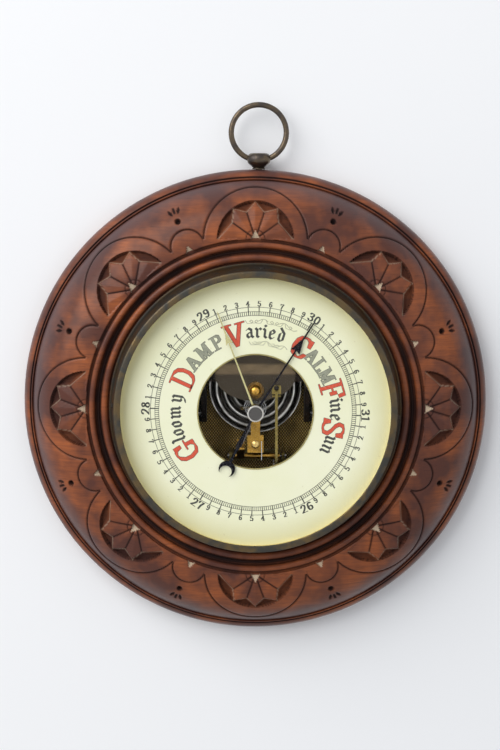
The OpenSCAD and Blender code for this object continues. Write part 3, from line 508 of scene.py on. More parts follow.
def polar(radius: float, degrees: float, centre: Point = (0.0, 0.0)) -> Point:
    """A point at a distance and an angle from a centre."""
    a = math.radians(degrees)
    return (centre[0] + radius * math.cos(a), centre[1] + radius * math.sin(a))


def fade(gap: Array, width: float, peak: float = 1.0) -> Array:
    """Falls from the peak by 1 over the width of a gap, kept between 0 and 1."""
    return np.clip(peak - gap / width, 0, 1)


class Bench:
    """Modelling steps shared by every piece. All sizes are millimetres on the bench."""

    @staticmethod
    def clear() -> None:
        """Leaves edit mode and deselects everything."""
        if bpy.context.object is not None and bpy.context.object.mode != "OBJECT":
            bpy.ops.object.mode_set(mode="OBJECT")
        bpy.ops.object.select_all(action="DESELECT")

    @staticmethod
    def take(*pieces: Piece) -> None:
        """Selects only these objects and makes the first one active."""
        Bench.clear()
        for piece in pieces:
            piece.select_set(True)
        bpy.context.view_layer.objects.active = pieces[0]

    @staticmethod
    def arc(centre: Point, radius: float, start: float, end: float, count: int) -> list[Point]:
        """Points on an arc.

        Args:
            centre: Its centre.
            radius: Its radius.
            start: First angle in degrees.
            end: Last angle in degrees.
            count: Number of points.

        Returns:
            The points, from start to end.
        """
        return [polar(radius, start + (end - start) * i / (count - 1), centre) for i in range(count)]

    @staticmethod
    def seal(sharp: float | None = None, merge: bool = True) -> None:
        """Merges the active object's double points and turns its faces outwards.

        Args:
            sharp: Edges sharper than this many degrees stay crisp; None shades nothing anew.
            merge: Whether double points are merged.
        """
        bpy.ops.object.mode_set(mode="EDIT")
        bpy.ops.mesh.select_all(action="SELECT")
        if merge:
            bpy.ops.mesh.remove_doubles(threshold=0.0005)
        bpy.ops.mesh.normals_make_consistent(inside=False)
        bpy.ops.object.mode_set(mode="OBJECT")
        if sharp is not None:
            bpy.ops.object.shade_smooth_by_angle(angle=math.radians(sharp))

    @staticmethod
    def turned(name: str, outline: Sequence[Point], steps: int = 256, sharp: float = 28.0) -> Piece:
        """Spins a closed outline round the dial's axis, as on a lathe.

        Args:
            name: The piece's name.
            outline: Points (radius, height) round the section.
            steps: Number of steps in the full turn.
            sharp: Edges sharper than this many degrees stay crisp.

        Returns:
            The closed piece, still lying on the bench.
        """
        Bench.clear()
        bpy.ops.mesh.primitive_circle_add(vertices=len(outline), radius=1)
        piece = bpy.context.object
        piece.name = name
        for vertex, (radius, height) in zip(piece.data.vertices, outline):
            vertex.co = (radius, 0, height)
        bpy.ops.object.mode_set(mode="EDIT")
        bpy.ops.mesh.select_all(action="SELECT")
        bpy.ops.mesh.spin(steps=steps, angle=2 * math.pi, center=(0, 0, 0), axis=(0, 0, 1))
        Bench.seal(sharp)
        return piece

    @staticmethod
    def flush(piece: Piece) -> None:
        """Writes an object's place, turn and scale into its mesh."""
        Bench.take(piece)
        bpy.ops.object.transform_apply(location=True, rotation=True, scale=True)

    @staticmethod
    def places(piece: Piece) -> Array:
        """The places of a piece's points, one row each."""
        flat = np.empty(len(piece.data.vertices) * 3)
        piece.data.vertices.foreach_get("co", flat)
        return flat.reshape(-1, 3)

    @staticmethod
    def marks(piece: Piece, *values: Array) -> None:
        """Stores one value for each point under each mark, in the order of the marks."""
        for name, numbers in zip(Mark, values):
            layer = piece.data.attributes.new(name.value, "FLOAT", "POINT")
            layer.data.foreach_set("value", np.asarray(numbers, dtype=np.float32))

    @staticmethod
    def finish(piece: Piece, body: Body, material: Material, slot: Slot,
               *replaces: str) -> None:
        """Turns a piece upright, dresses it and hands it to its body.

        Args:
            piece: The bench object.
            body: The body that it rides on.
            material: Its finish.
            slot: The record's slot for that finish; not used.
            replaces: CAD nodes that it stands for.
        """
        Bench.flush(piece)
        piece.data.transform(UPRIGHT)
        piece.data.materials.clear()
        piece.data.materials.append(material)
        piece.data.update()
        if replaces:
            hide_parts(*replaces)
        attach(piece, body.value)
        log.info("%s: %d faces, on body %s", piece.name, len(piece.data.polygons), body.value)


@dataclass
class WoodenFrame:
    """The turned and carved wooden frame, in millimetres."""

    bore_r: float = 79.6
    recess_r: float = 84.3
    ledge_z: float = 37.0
    torus_w: float = 4.2
    channel_w: float = 3.3
    bead_w: float = 3.6
    quirk_w: float = 1.5
    floor_z: float = 35.0
    dome_z: float = 38.0
    foot_z: float = 18.0
    dome_out_r: float = 129.5
    frame_r: float = 136.0
    roll_t: float = 17.0
    roll_r: float = 9.0
    fan_count: int = 8
    arch_edge: float = 3.2
    band_w: float = 7.9
    line_w: float = 1.1
    line_depth: float = 0.9
    ground_depth: float = 2.4
    small_arch_r: float = 9.6
    small_arch_leg: float = 3.5
    punch_gap: float = 5.5
    petal_count: int = 5
    fan_ring_r: float = 5.4
    fan_chip: tuple[float, float, float] = (2.7, 4.9, 6.0)
    spray_chip: tuple[float, float, float] = (2.2, 4.0, 5.0)
    columns: int = 1080
    top_rows: int = 78

    def __post_init__(self) -> None:
        """Works out the mouldings' radii, and the dome's arc, which is level at its inner edge."""
        self.torus_out = self.recess_r + self.torus_w
        self.bead_in = self.torus_out + self.channel_w
        self.bead_out = self.bead_in + self.bead_w
        self.dome_in = self.bead_out + self.quirk_w
        width, drop = self.dome_out_r - self.dome_in, self.dome_z - self.foot_z
        self.dome_arc = (width * width + drop * drop) / (2 * drop)

    def section(self) -> list[Point]:
        """The turned section without the carved dome, from the bore outwards."""
        torus = (self.recess_r + self.torus_w / 2, self.dome_z + 1 - self.torus_w / 2)
        bead = (self.bead_in + self.bead_w / 2, self.dome_z + 1 - self.bead_w / 2)
        middle = (self.torus_out + self.bead_in) / 2
        step = 0.4
        roll_at = (self.frame_r - self.roll_r, self.roll_t / 2)
        roll_top = math.degrees(math.acos((self.dome_out_r + 2.4 - roll_at[0]) / self.roll_r))
        roll_low = -math.degrees(math.asin(self.roll_t / 2 / self.roll_r))
        foot, foot_z, floor_z = self.dome_out_r, self.foot_z, self.floor_z
        quirk_z = self.dome_z - self.quirk_w
        return [
            (self.bore_r, 0), (self.bore_r, self.ledge_z), (self.recess_r, self.ledge_z),
            *Bench.arc(torus, self.torus_w / 2, 180, 0, 15),
            (self.torus_out, floor_z), (middle - step, floor_z), (middle - step, floor_z + 0.9),
            (middle + step, floor_z + 0.9), (middle + step, floor_z), (self.bead_in, floor_z),
            *Bench.arc(bead, self.bead_w / 2, 180, 0, 13),
            (self.bead_out, quirk_z), (self.dome_in + 0.6, quirk_z), (self.dome_in + 1, self.dome_z - 5),
            (foot - 8, foot_z - 4), (foot - 0.6, foot_z - 4), (foot - 0.4, foot_z - 1.1),
            (foot + 0.4, foot_z - 1.2), (foot + 0.8, foot_z - 0.2), (foot + 1.1, foot_z),
            (foot + 1.4, foot_z - 0.3), (foot + 1.6, foot_z - 2.0), (foot + 2.0, foot_z - 2.4),
            *Bench.arc(roll_at, self.roll_r, roll_top, roll_low, 28),
        ]

    def build_turned(self) -> Piece:
        """Models the bore, the mouldings, the roll and the back, with painted shade in their grooves and
        a painted slate-grey reflection on the roll's outer side.
        """
        piece = Bench.turned("turned_frame", self.section(), 320, 32)
        place = Bench.places(piece)
        radius = np.hypot(place[:, 0], place[:, 1])
        foot = self.dome_out_r
        # painted shade in the channel, the quirk, the grooves at the dome's foot and by the roll, and the
        # ledge by the bezel
        shade_bands = ((self.torus_out - 0.5, self.bead_in + 0.4, 0.7), (foot + 1.3, foot + 2.7, 0.35),
                 (self.bead_out - 0.5, self.dome_in + 0.8, 0.6), (foot - 1, foot + 0.55, 0.35),
                 (self.bore_r - 1, self.recess_r + 0.5, 0.7))
        front = place[:, 2] > 6
        cut = np.maximum.reduce([self.dip(radius, *dark) for dark in shade_bands]) * front * 0.93
        # painted slate-grey reflection on the roll's outer side
        roll = np.clip((radius - foot - 3.6) / 2.2, 0, 1) * front * 0.75
        Bench.marks(piece, cut, np.zeros(len(radius)), roll)
        return piece

    @staticmethod
    def dip(value: Array, low: float, high: float, soft: float) -> Array:
        """1 between low and high, falling to 0 over a soft edge outside them."""
        rise = np.clip((value - low) / soft, 0, 1)
        fall = np.clip((high - value) / soft, 0, 1)
        return np.minimum(rise, fall)

    @staticmethod
    def away(across: Array, along: Array, lines: Sequence[tuple[Point, Point]]) -> Array:
        """Distance of many points from the nearest of some straight lines between two ends."""
        gaps = []
        for (x0, y0), (x1, y1) in lines:
            dx, dy = x1 - x0, y1 - y0
            share = np.clip(((across - x0) * dx + (along - y0) * dy) / (dx * dx + dy * dy), 0, 1)
            gaps.append(np.hypot(across - x0 - share * dx, along - y0 - share * dy))
        return np.minimum.reduce(gaps)

    @staticmethod
    def within(across: Array, along: Array, outline: Sequence[Point]) -> Array:
        """True for each point that lies inside a closed outline."""
        inside = np.zeros(across.shape, dtype=bool)
        for (x0, y0), (x1, y1) in zip(outline, [*outline[1:], outline[0]]):
            if y0 == y1:
                continue
            crossing = (along >= min(y0, y1)) & (along < max(y0, y1))
            at = x0 + (along - y0) * (x1 - x0) / (y1 - y0)
            inside ^= crossing & (across < at)
        return inside

    def chip(self, across: Array, along: Array, depth: Array, half: float,
             length: float, run: float) -> tuple[Array, Array]:
        """Cuts a three-cornered chip at a foot.

        Args:
            across: Sideways place of each point.
            along: Outward place of each point.
            depth: Depth of each point before.
            half: Half of its width.
            length: Its length.
            run: Length over which its depth would run out.

        Returns:
            True inside the chip, and the depth after.
        """
        corners = [(-half, -0.5), (half, -0.5), (half, 0.1), (0.0, length), (-half, 0.1)]
        inside = self.within(across, along, corners)
        return inside, np.where(inside, 2.0 * (1 - np.clip(along, 0, length) / run), depth)

    def carve_fan(self, across: Array, along: Array) -> Carving:
        """The carving of one fan, seen flat, with its foot at the origin.

        Args:
            across: Sideways place of each point.
            along: Outward place of each point.

        Returns:
            Depth, painted shade and paleness for each point.
        """
        arch_r = self.dome_out_r - self.dome_in - self.arch_edge
        fan_r = arch_r - self.band_w
        reach = np.hypot(across, along)
        upper = along > 0
        half = self.line_w / 2

        # dark is painted shade: in the arch's line, on the ground, along the fan's and petals' edges, in
        # the veins and in the ring
        depth = fade(np.abs(reach - arch_r), half) * upper * self.line_depth
        dark = fade(np.abs(reach - arch_r), half * 1.1, 1.25) * upper * 0.92

        step, notch, tip = 180 / self.petal_count, fan_r * 0.74, fan_r * 0.97
        points = [polar(tip if i % 2 else notch, i * step / 2)
                  for i in range(2, 2 * self.petal_count - 1)]
        star = [(tip, -2.0), (tip, 0.0), *points, (-tip, 0.0), (-tip, -2.0)]
        in_fan = (reach < fan_r) & upper
        petals = self.within(across, along, star) & in_fan
        edge = self.away(across, along, list(zip(star[1:-2], star[2:-1])))
        ground = in_fan & ~petals
        depth = np.where(ground, np.clip(0.4 + edge * 0.85, 0, self.ground_depth), depth)
        # the ground's painted shadow grows towards the arch wall
        dark = np.where(ground, np.clip(0.25 + edge * 0.16, 0, 0.62), dark)
        pale = np.where(ground, np.clip(0.75 - edge / 0.9, 0, 0.22), 0)
        dark = np.maximum(dark, fade(np.abs(reach - fan_r), 0.55) * upper * 0.92)
        dark = np.maximum(dark, fade(edge, 0.45) * in_fan * 0.45)

        veins = [(polar(2.8, i * step), polar(notch, i * step)) for i in range(1, self.petal_count)]
        lines = self.away(across, along, veins)
        depth = np.maximum(depth, fade(lines, half) * self.line_depth * petals)
        dark = np.maximum(dark, fade(lines, half * 1.05, 1.3) * in_fan * 0.95)

        # each petal falls a little to both sides of its middle
        turn = np.degrees(np.arctan2(along, across))
        off = np.abs(turn % step - step / 2)
        crown = np.clip(off / (step / 2), 0, 1) * np.clip(reach / notch, 0, 1)
        depth = np.where(petals, np.maximum(depth, 0.75 * crown), depth)

        chip, depth = self.chip(across, along, depth, *self.fan_chip)
        dark = np.where(chip, 0, dark)
        pale = np.where(chip, 0.9, pale)
        ring = fade(np.abs(reach - self.fan_ring_r), 0.5) * upper * ~chip
        dark = np.maximum(dark, ring * 0.9)
        depth = np.maximum(depth, ring * 0.5)
        return depth, dark, pale

    def carve_spray(self, across: Array, along: Array, free: Array) -> Carving:
        """The carving between two fans: an arch, a chip, a punched hole and strokes.

        Args:
            across: Sideways place of each point.
            along: Outward place of each point.
            free: True where the fans leave room.

        Returns:
            Depth, darkness and paleness for each point.
        """
        half = self.line_w / 2
        reach = np.hypot(across, along - self.small_arch_leg)
        top = along > self.small_arch_leg
        gap = np.where(top, np.abs(reach - self.small_arch_r), np.abs(np.abs(across) - self.small_arch_r))
        free = free & (along > 0)
        depth = fade(gap, half) * free * self.line_depth
        # dark is painted shade in the arch's line, the punched hole and the strokes
        dark = fade(gap, half * 1.1, 1.25) * free * 0.9
        chip, depth = self.chip(across, along, depth, *self.spray_chip)
        pale = np.where(chip, 0.9, 0.0)
        punch = self.small_arch_leg + self.small_arch_r + self.punch_gap
        hole = np.hypot(across, along - punch)
        depth = np.maximum(depth, np.clip((1.5 - hole) / 0.4, 0, 1) * self.ground_depth)
        dark = np.maximum(dark, np.clip((2.0 - hole) / 0.5, 0, 1) * 0.95)
        for turn in (-28, 0, 28):
            a = math.radians(turn)
            x = across * math.cos(a) + (along - punch - 1) * math.sin(a)
            y = -across * math.sin(a) + (along - punch - 1) * math.cos(a) - 3.2
            leaf = np.minimum(3 - np.hypot(x - 2.2, y - 2), 3 - np.hypot(x + 2.2, y - 2))
            depth = np.maximum(depth, np.clip(leaf * 1.6, 0, 1.0))
            dark = np.maximum(dark, np.clip((leaf + 0.35) / 0.5, 0, 1) * 0.95)
        return depth, dark, pale

    def unrolled(self, turn: Array, radius: Array, shift: float) -> Sequence[Array]:
        """Sideways and outward place of points about the nearest fan, or gap with a shift of 0.5."""
        sector = 2 * math.pi / self.fan_count
        near = np.rint((turn - math.pi / 2) / sector - shift) + shift
        off = turn - math.pi / 2 - near * sector
        return -radius * np.sin(off), radius * np.cos(off) - self.dome_in

    def build_dome(self) -> Piece:
        """Models the carved dome as one dense, closed ring whose top follows the carving."""
        inner, outer = self.dome_in, self.dome_out_r
        base = [(outer - 0.2, self.foot_z - 3.5), (outer - 6, self.foot_z - 3.5),
                (inner + 6, self.dome_z - 12), (inner + 0.3, self.dome_z - 4)]
        rows = self.top_rows + len(base) + 2
        Bench.clear()
        bpy.ops.mesh.primitive_grid_add(x_subdivisions=self.columns, y_subdivisions=rows, size=1)
        piece = bpy.context.object
        piece.name = "carved_dome"
        flat = Bench.places(piece)
        turn = np.rint((flat[:, 0] + 0.5) * self.columns) / self.columns * 2 * math.pi
        row = np.rint((flat[:, 1] + 0.5) * rows).astype(int)

        share = np.clip(row - 1, 0, self.top_rows) / self.top_rows
        lean = share * math.asin((outer - inner) / self.dome_arc)
        radius = inner + self.dome_arc * np.sin(lean)
        height = self.dome_z - self.dome_arc + self.dome_arc * np.cos(lean)
        radius = np.where((row == 0) | (row == rows), inner, radius)
        height = np.where((row == 0) | (row == rows), self.dome_z - 2.2, height)
        for i, (r, z) in enumerate(base):
            here = row == self.top_rows + 2 + i
            radius = np.where(here, r, radius)
            height = np.where(here, z, height)
        on_top = (row >= 1) & (row <= self.top_rows + 1)

        across, along = self.unrolled(turn, radius, 0)
        depth, dark, pale = self.carve_fan(across, along)
        free = np.hypot(across, along) > outer - inner - self.arch_edge + 0.2
        more = self.carve_spray(*self.unrolled(turn, radius, 0.5), free)
        edge = fade(radius - inner, 0.5) * on_top
        depth = np.maximum(np.maximum(depth, more[0]) * on_top, edge * 0.35)
        dark = np.where(more[2] > 0, 0, np.maximum(dark, more[1])) * on_top
        pale = np.maximum(pale, more[2]) * on_top
        radius = radius - depth * np.sin(lean)
        # painted slate-grey reflection on the dome's steep outer part
        cool = np.clip((radius - inner - 22) / 9, 0, 1) * on_top
        flat[:, 0] = radius * np.cos(turn)
        flat[:, 1] = radius * np.sin(turn)
        flat[:, 2] = height - depth * np.cos(lean)
        piece.data.vertices.foreach_set("co", flat.reshape(-1))
        # painted shade along the dome's inner edge joins the carving's painted shade
        Bench.marks(piece, np.maximum(dark, edge * 0.6), pale, cool)
        Bench.take(piece)
        Bench.seal(60)
        return piece

    def build(self, finishes: Finishes) -> None:
        """Builds and dresses both parts of the wood."""
        for piece in (self.build_turned(), self.build_dome()):
            Bench.finish(piece, Body.FRAME, finishes["polished_wood"], Slot.WOOD, "wood_frame")


@dataclass
class Bezel:
    """The tall brass bezel gone dark, in millimetres."""

    inner_r: float = 79.25
    foot_r: float = 83.6
    foot_z: float = 37.8
    sight_r: float = 76.2
    face_w: float = 3.4
    top_z: float = 56.1
    glass_top_z: float = 55.0

    def build(self, finishes: Finishes) -> None:
        """Turns the bezel and dresses it."""
        face_r = self.sight_r + self.face_w
        outline = [
            (self.inner_r, self.foot_z),
            *Bench.arc((self.foot_r - 0.7, self.foot_z + 0.9), 0.7, -60, 60, 6),
            (self.foot_r - 0.9, self.foot_z + 2.1), (self.foot_r - 1.2, self.foot_z + 2.9),
            (self.foot_r - 2.1, self.foot_z + 8), (face_r + 0.45, self.top_z - 2.6),
            *Bench.arc((face_r - 0.8, self.top_z - 1.5), 1.25, 5, 88, 8),
            *Bench.arc((self.sight_r + 0.5, self.top_z - 0.5), 0.5, 90, 180, 5),
            (self.sight_r, self.glass_top_z), (self.inner_r - 0.55, self.glass_top_z),
            (self.inner_r, self.glass_top_z - 0.6),
        ]
        piece = Bench.turned("bezel_ring", outline, 256, 24)
        Bench.finish(piece, Body.FRAME, finishes["dark_bronze_patina"], Slot.BRONZE, "bezel")


@dataclass
class Hanger:
    """The hanging ring and its stem, in millimetres."""

    stem_x: float = 2.0
    depth_z: float = 8.5
    pivot_y: float = 141.6
    ring_r: float = 15.9
    wire_r: float = 1.6
    neck_r: float = 3.1
    head_r: float = 5.3

    def build_ring(self) -> Piece:
        """Models the ring, a little worn flat where it hangs in its stem."""
        Bench.clear()
        bpy.ops.mesh.primitive_torus_add(major_radius=self.ring_r, minor_radius=self.wire_r,
                                         major_segments=128, minor_segments=28)
        piece = bpy.context.object
        piece.name = "hanging_ring"
        for vertex in piece.data.vertices:
            turn = math.atan2(vertex.co.y, vertex.co.x)
            worn = max(0.0, -math.sin(turn)) ** 12 * 0.12
            away = Vector((vertex.co.x, vertex.co.y, 0)).normalized() * self.ring_r
            vertex.co = away + (vertex.co - away) * (1 - worn - 0.02 * math.sin(3 * turn))
        piece.location = (self.stem_x, self.pivot_y + self.ring_r - 0.4, self.depth_z)
        bpy.ops.object.shade_smooth()
        return piece

    def build_stem(self) -> Piece:
        """Turns the stem and drills the hole for the ring."""
        base = math.sqrt(WoodenFrame.frame_r ** 2 - self.stem_x ** 2)
        low = self.pivot_y - 3.5
        high = self.pivot_y + 3.9
        outline = [
            (0, base - 15.8), (1.9, base - 15.8), (1.9, base + 0.15), (self.neck_r + 0.6, base + 0.15),
            *Bench.arc((self.neck_r + 0.45, base + 0.5), 0.35, -90, 90, 5),
            (self.neck_r, base + 1.0), (self.neck_r - 0.2, low - 1.4), (self.neck_r + 0.5, low - 0.9),
            *Bench.arc((self.head_r - 1.9, (low + high) / 2), (high - low) / 2, -62, 72, 14),
            (0, high - 0.1),
        ]
        piece = Bench.turned("ring_stem", outline, 64, 30)
        piece.rotation_euler = (-math.pi / 2, 0, 0)
        piece.location = (self.stem_x, 0, self.depth_z)
        Bench.flush(piece)
        Bench.clear()
        bpy.ops.mesh.primitive_cylinder_add(vertices=48, radius=self.wire_r + 0.7, depth=30,
                                            location=(self.stem_x, self.pivot_y, self.depth_z),
                                            rotation=(0, math.pi / 2, 0))
        drill = bpy.context.object
        Bench.take(piece)
        cut = piece.modifiers.new("drill", "BOOLEAN")
        cut.operation = "DIFFERENCE"
        cut.object = drill
        bpy.ops.object.modifier_apply(modifier=cut.name)
        bpy.data.objects.remove(drill)
        return piece

    def build(self, finishes: Finishes) -> None:
        """Builds and dresses the ring and the stem."""
        bronze = finishes["ring_bronze"]
        Bench.finish(self.build_ring(), Body.RING, bronze, Slot.BRONZE, "hanger_ring")
        Bench.finish(self.build_stem(), Body.FRAME, bronze, Slot.BRONZE, "hanger_stem")


# Letters as pen strokes, in hundredths: "x,y x,y/x,y x,y". Capitals and figures are 100 high,
# small letters have an x-height of 100.
GLYPHS: dict[str, str] = {
    "A": "8,0 44,100/44,100 80,0/20,32 68,32/-6,0 24,0/62,0 98,0",
    "C": "80,72 74,90 52,100 26,92 10,70 8,40 22,10 48,0 70,6 84,28/82,66 80,98",
    "D": "20,0 20,100/2,100 50,100 72,88 84,64 84,34 72,11 50,0 2,0",
    "F": "22,0 22,100/2,100 78,100 82,74/22,52 60,52/60,38 60,66/2,0 44,0",
    "G": "80,74 74,91 52,100 26,92 10,70 8,40 22,10 48,0 70,5 80,16/80,2 80,42/60,42 98,42/82,68 80,98",
    "L": "22,0 22,100/4,100 42,100/4,0 74,0 78,28",
    "M": "14,0 14,100/14,100 52,10/52,10 88,100/90,100 90,0/-2,0 30,0/74,0 106,0/-2,100 16,100"
         "/88,100 106,100",
    "P": "22,0 22,100/2,100 54,100 76,88 76,60 54,47 22,47/2,0 42,0",
    "S": "74,72 68,92 44,100 20,92 14,74 28,58 56,44 74,28 68,8 42,0 18,7 8,28/76,70 76,98/6,2 8,30",
    "V": "10,100 46,0/46,0 84,100/-6,100 30,100/66,100 102,100",
    "a": "2,84 20,100 46,84 46,16 62,0/40,58 6,40 6,14 22,0 44,16",
    "d": "0,142 46,92 46,16 26,0 6,16 6,80 22,96",
    "e": "44,16 26,0 6,16 6,80 26,100 46,80 40,62 10,46",
    "m": "-8,98 6,84 6,14 18,2/8,82 32,100 46,84 46,14 58,2/48,82 72,100 86,84 86,18 100,2",
    "i": "-8,98 8,82 8,18 26,2/2,136 14,124",
    "l": "-8,150 8,134 8,18 26,2",
    "n": "-8,98 6,84 6,14 18,2/8,82 34,100 50,84 50,18 66,2",
    "o": "26,100 6,82 6,16 26,0 46,16 46,82 26,100",
    "r": "-8,98 8,82 8,14 24,2/10,80 32,100 46,86",
    "u": "-8,98 6,84 6,14 22,0 46,16/32,98 48,84 48,18 64,2",
    "y": "-8,98 6,84 6,14 22,0 46,16/32,98 48,84 48,-10 30,-36 4,-42",
    "0": "30,100 11,84 6,50 11,16 30,0 49,16 54,50 49,84 30,100",
    "1": "30,0 30,100/12,84 30,100/10,0 50,0",
    "2": "8,72 14,92 34,100 52,88 52,66 38,40 6,4/6,3 58,3",
    "3": "8,80 20,98 42,97 52,78 42,58 22,53/22,53 48,45 56,24 44,3 20,0 6,18",
    "4": "42,0 42,100/42,100 4,30 62,30/28,0 56,0",
    "5": "54,100 14,100 10,54 34,62 54,48 56,22 42,2 18,0 6,16",
    "6": "52,84 36,100 16,82 7,44 14,10 32,0 52,12 55,36 40,54 18,48 8,34",
    "7": "6,76 8,98 58,98 36,52 26,0",
    "8": "30,100 12,86 16,64 46,42 54,20 44,3 30,0 12,6 7,24 20,48 46,64 48,86 30,100",
    "9": "8,16 24,0 44,18 53,56 46,90 28,100 8,88 5,64 20,46 42,52 52,66",
}


def glyph(sign: str) -> list[Stroke]:
    """The pen strokes of one letter or figure, with a height of 1."""
    return [[tuple(int(number) / 100 for number in point.split(",")) for point in stroke.split()]
            for stroke in GLYPHS[sign].split("/")]


@dataclass(frozen=True)
class Pen:
    """A broad pen, in millimetres: its nib is wide one way and thin the other."""

    width: float
    thin: float
    slant: float = 0.0

    def wider(self, more: float) -> "Pen":
        """The same pen with a nib that reaches further on every side."""
        return Pen(self.width + 2 * more, self.thin + 2 * more, self.slant)

    def nib(self) -> list[Point]:
        """The nib's four corners about its middle."""
        a = math.radians(self.slant)
        along = (math.cos(a) * self.width / 2, math.sin(a) * self.width / 2)
        across = (-math.sin(a) * self.thin / 2, math.cos(a) * self.thin / 2)
        return [(s * along[0] + t * across[0], s * along[1] + t * across[1])
                for s in (-1, 1) for t in (-1, 1)]


@dataclass(frozen=True)
class Placing:
    """Where a letter sits on the dial, in millimetres and degrees clockwise from the top."""

    angle: float
    radius: float
    height: float
    stretch: float = 1.0
    lean: float = 0.0

    def to_dial(self, point: Point, middle: Point) -> Point:
        """Carries a point of a glyph to the dial."""
        x = (point[0] - middle[0]) * self.height * self.stretch
        y = (point[1] - middle[1]) * self.height
        a, turn = math.radians(self.angle), math.radians(self.angle + self.lean)
        return (self.radius * math.sin(a) + x * math.cos(turn) + y * math.sin(turn),
                self.radius * math.cos(a) - x * math.sin(turn) + y * math.cos(turn))


class Print:
    """One colour of the dial's printing, gathered stroke by stroke.

    Strokes that cross differ in height by the stagger, so that no two faces lie in one plane.
    """

    stagger = 0.006
    levels = 7

    def __init__(self, name: str, low: float, high: float) -> None:
        """Starts an empty film.

        Args:
            name: The piece's name.
            low: Height of its underside on the bench.
            high: Height of its face.
        """
        self.name = name
        self.low = low
        self.high = high
        self.mesh = bmesh.new()
        self.count = 0

    def segment(self, pen: Pen, first: Point, last: Point, turn: float = 0.0) -> None:
        """Adds what the pen covers on its way between two points.

        Args:
            pen: The pen.
            first: Where it starts.
            last: Where it stops.
            turn: How far the pen is turned with its letter, in degrees clockwise.
        """
        a = math.radians(turn)
        corners = []
        self.count += 1
        high = self.high + self.stagger * (self.count % self.levels)
        for x, y in pen.nib():
            x, y = x * math.cos(a) + y * math.sin(a), y * math.cos(a) - x * math.sin(a)
            for end in (first, last):
                for z in (self.low, high):
                    corners.append(self.mesh.verts.new((end[0] + x, end[1] + y, z)))
        made = bmesh.ops.convex_hull(self.mesh, input=corners)
        spare = [part for part in made["geom_interior"] + made["geom_unused"]
                 if isinstance(part, bmesh.types.BMVert) and part.is_valid]
        bmesh.ops.delete(self.mesh, geom=list(set(spare)), context="VERTS")

    def draw(self, strokes: Sequence[Stroke], pen: Pen, placing: Placing) -> None:
        """Adds one letter.

        Args:
            strokes: Its strokes.
            pen: The pen.
            placing: Where its middle goes and how tall it is.
        """
        across = [x for stroke in strokes for x, _ in stroke]
        middle = ((min(across) + max(across)) / 2, 0.5)
        for stroke in strokes:
            points = [placing.to_dial(point, middle) for point in stroke]
            for first, last in zip(points, points[1:]):
                self.segment(pen, first, last, placing.angle + placing.lean)

    def ray(self, angle: float, low: float, high: float, width: float) -> None:
        """Adds one tick of the scale."""
        a = math.radians(angle)
        ends = [(radius * math.sin(a), radius * math.cos(a)) for radius in (low, high)]
        self.segment(Pen(width, 0.02), ends[0], ends[1], angle)

    def done(self, ink: Material, rings: Sequence[Piece] = ()) -> None:
        """Turns the film into a closed piece on the dial.

        Args:
            ink: Its finish.
            rings: Bench objects that belong to the same piece.
        """
        Bench.clear()
        bpy.ops.mesh.primitive_plane_add(size=1)
        piece = bpy.context.object
        self.mesh.to_mesh(piece.data)
        self.mesh.free()
        Bench.take(piece, *rings)
        if rings:
            bpy.ops.object.join()
        piece.name = self.name
        Bench.seal(merge=False)
        Bench.finish(piece, Body.FRAME, ink, Slot.IVORY)


class Hand(Enum):
    """How a word's letters after the first are written."""

    BLACK_LETTER = "black letter"
    ROMAN = "roman"


@dataclass(frozen=True)
class Legend:
    """One curved word of the dial; its letters have their middles at given angles."""

    text: str
    hand: Hand
    angles: tuple[float, ...]


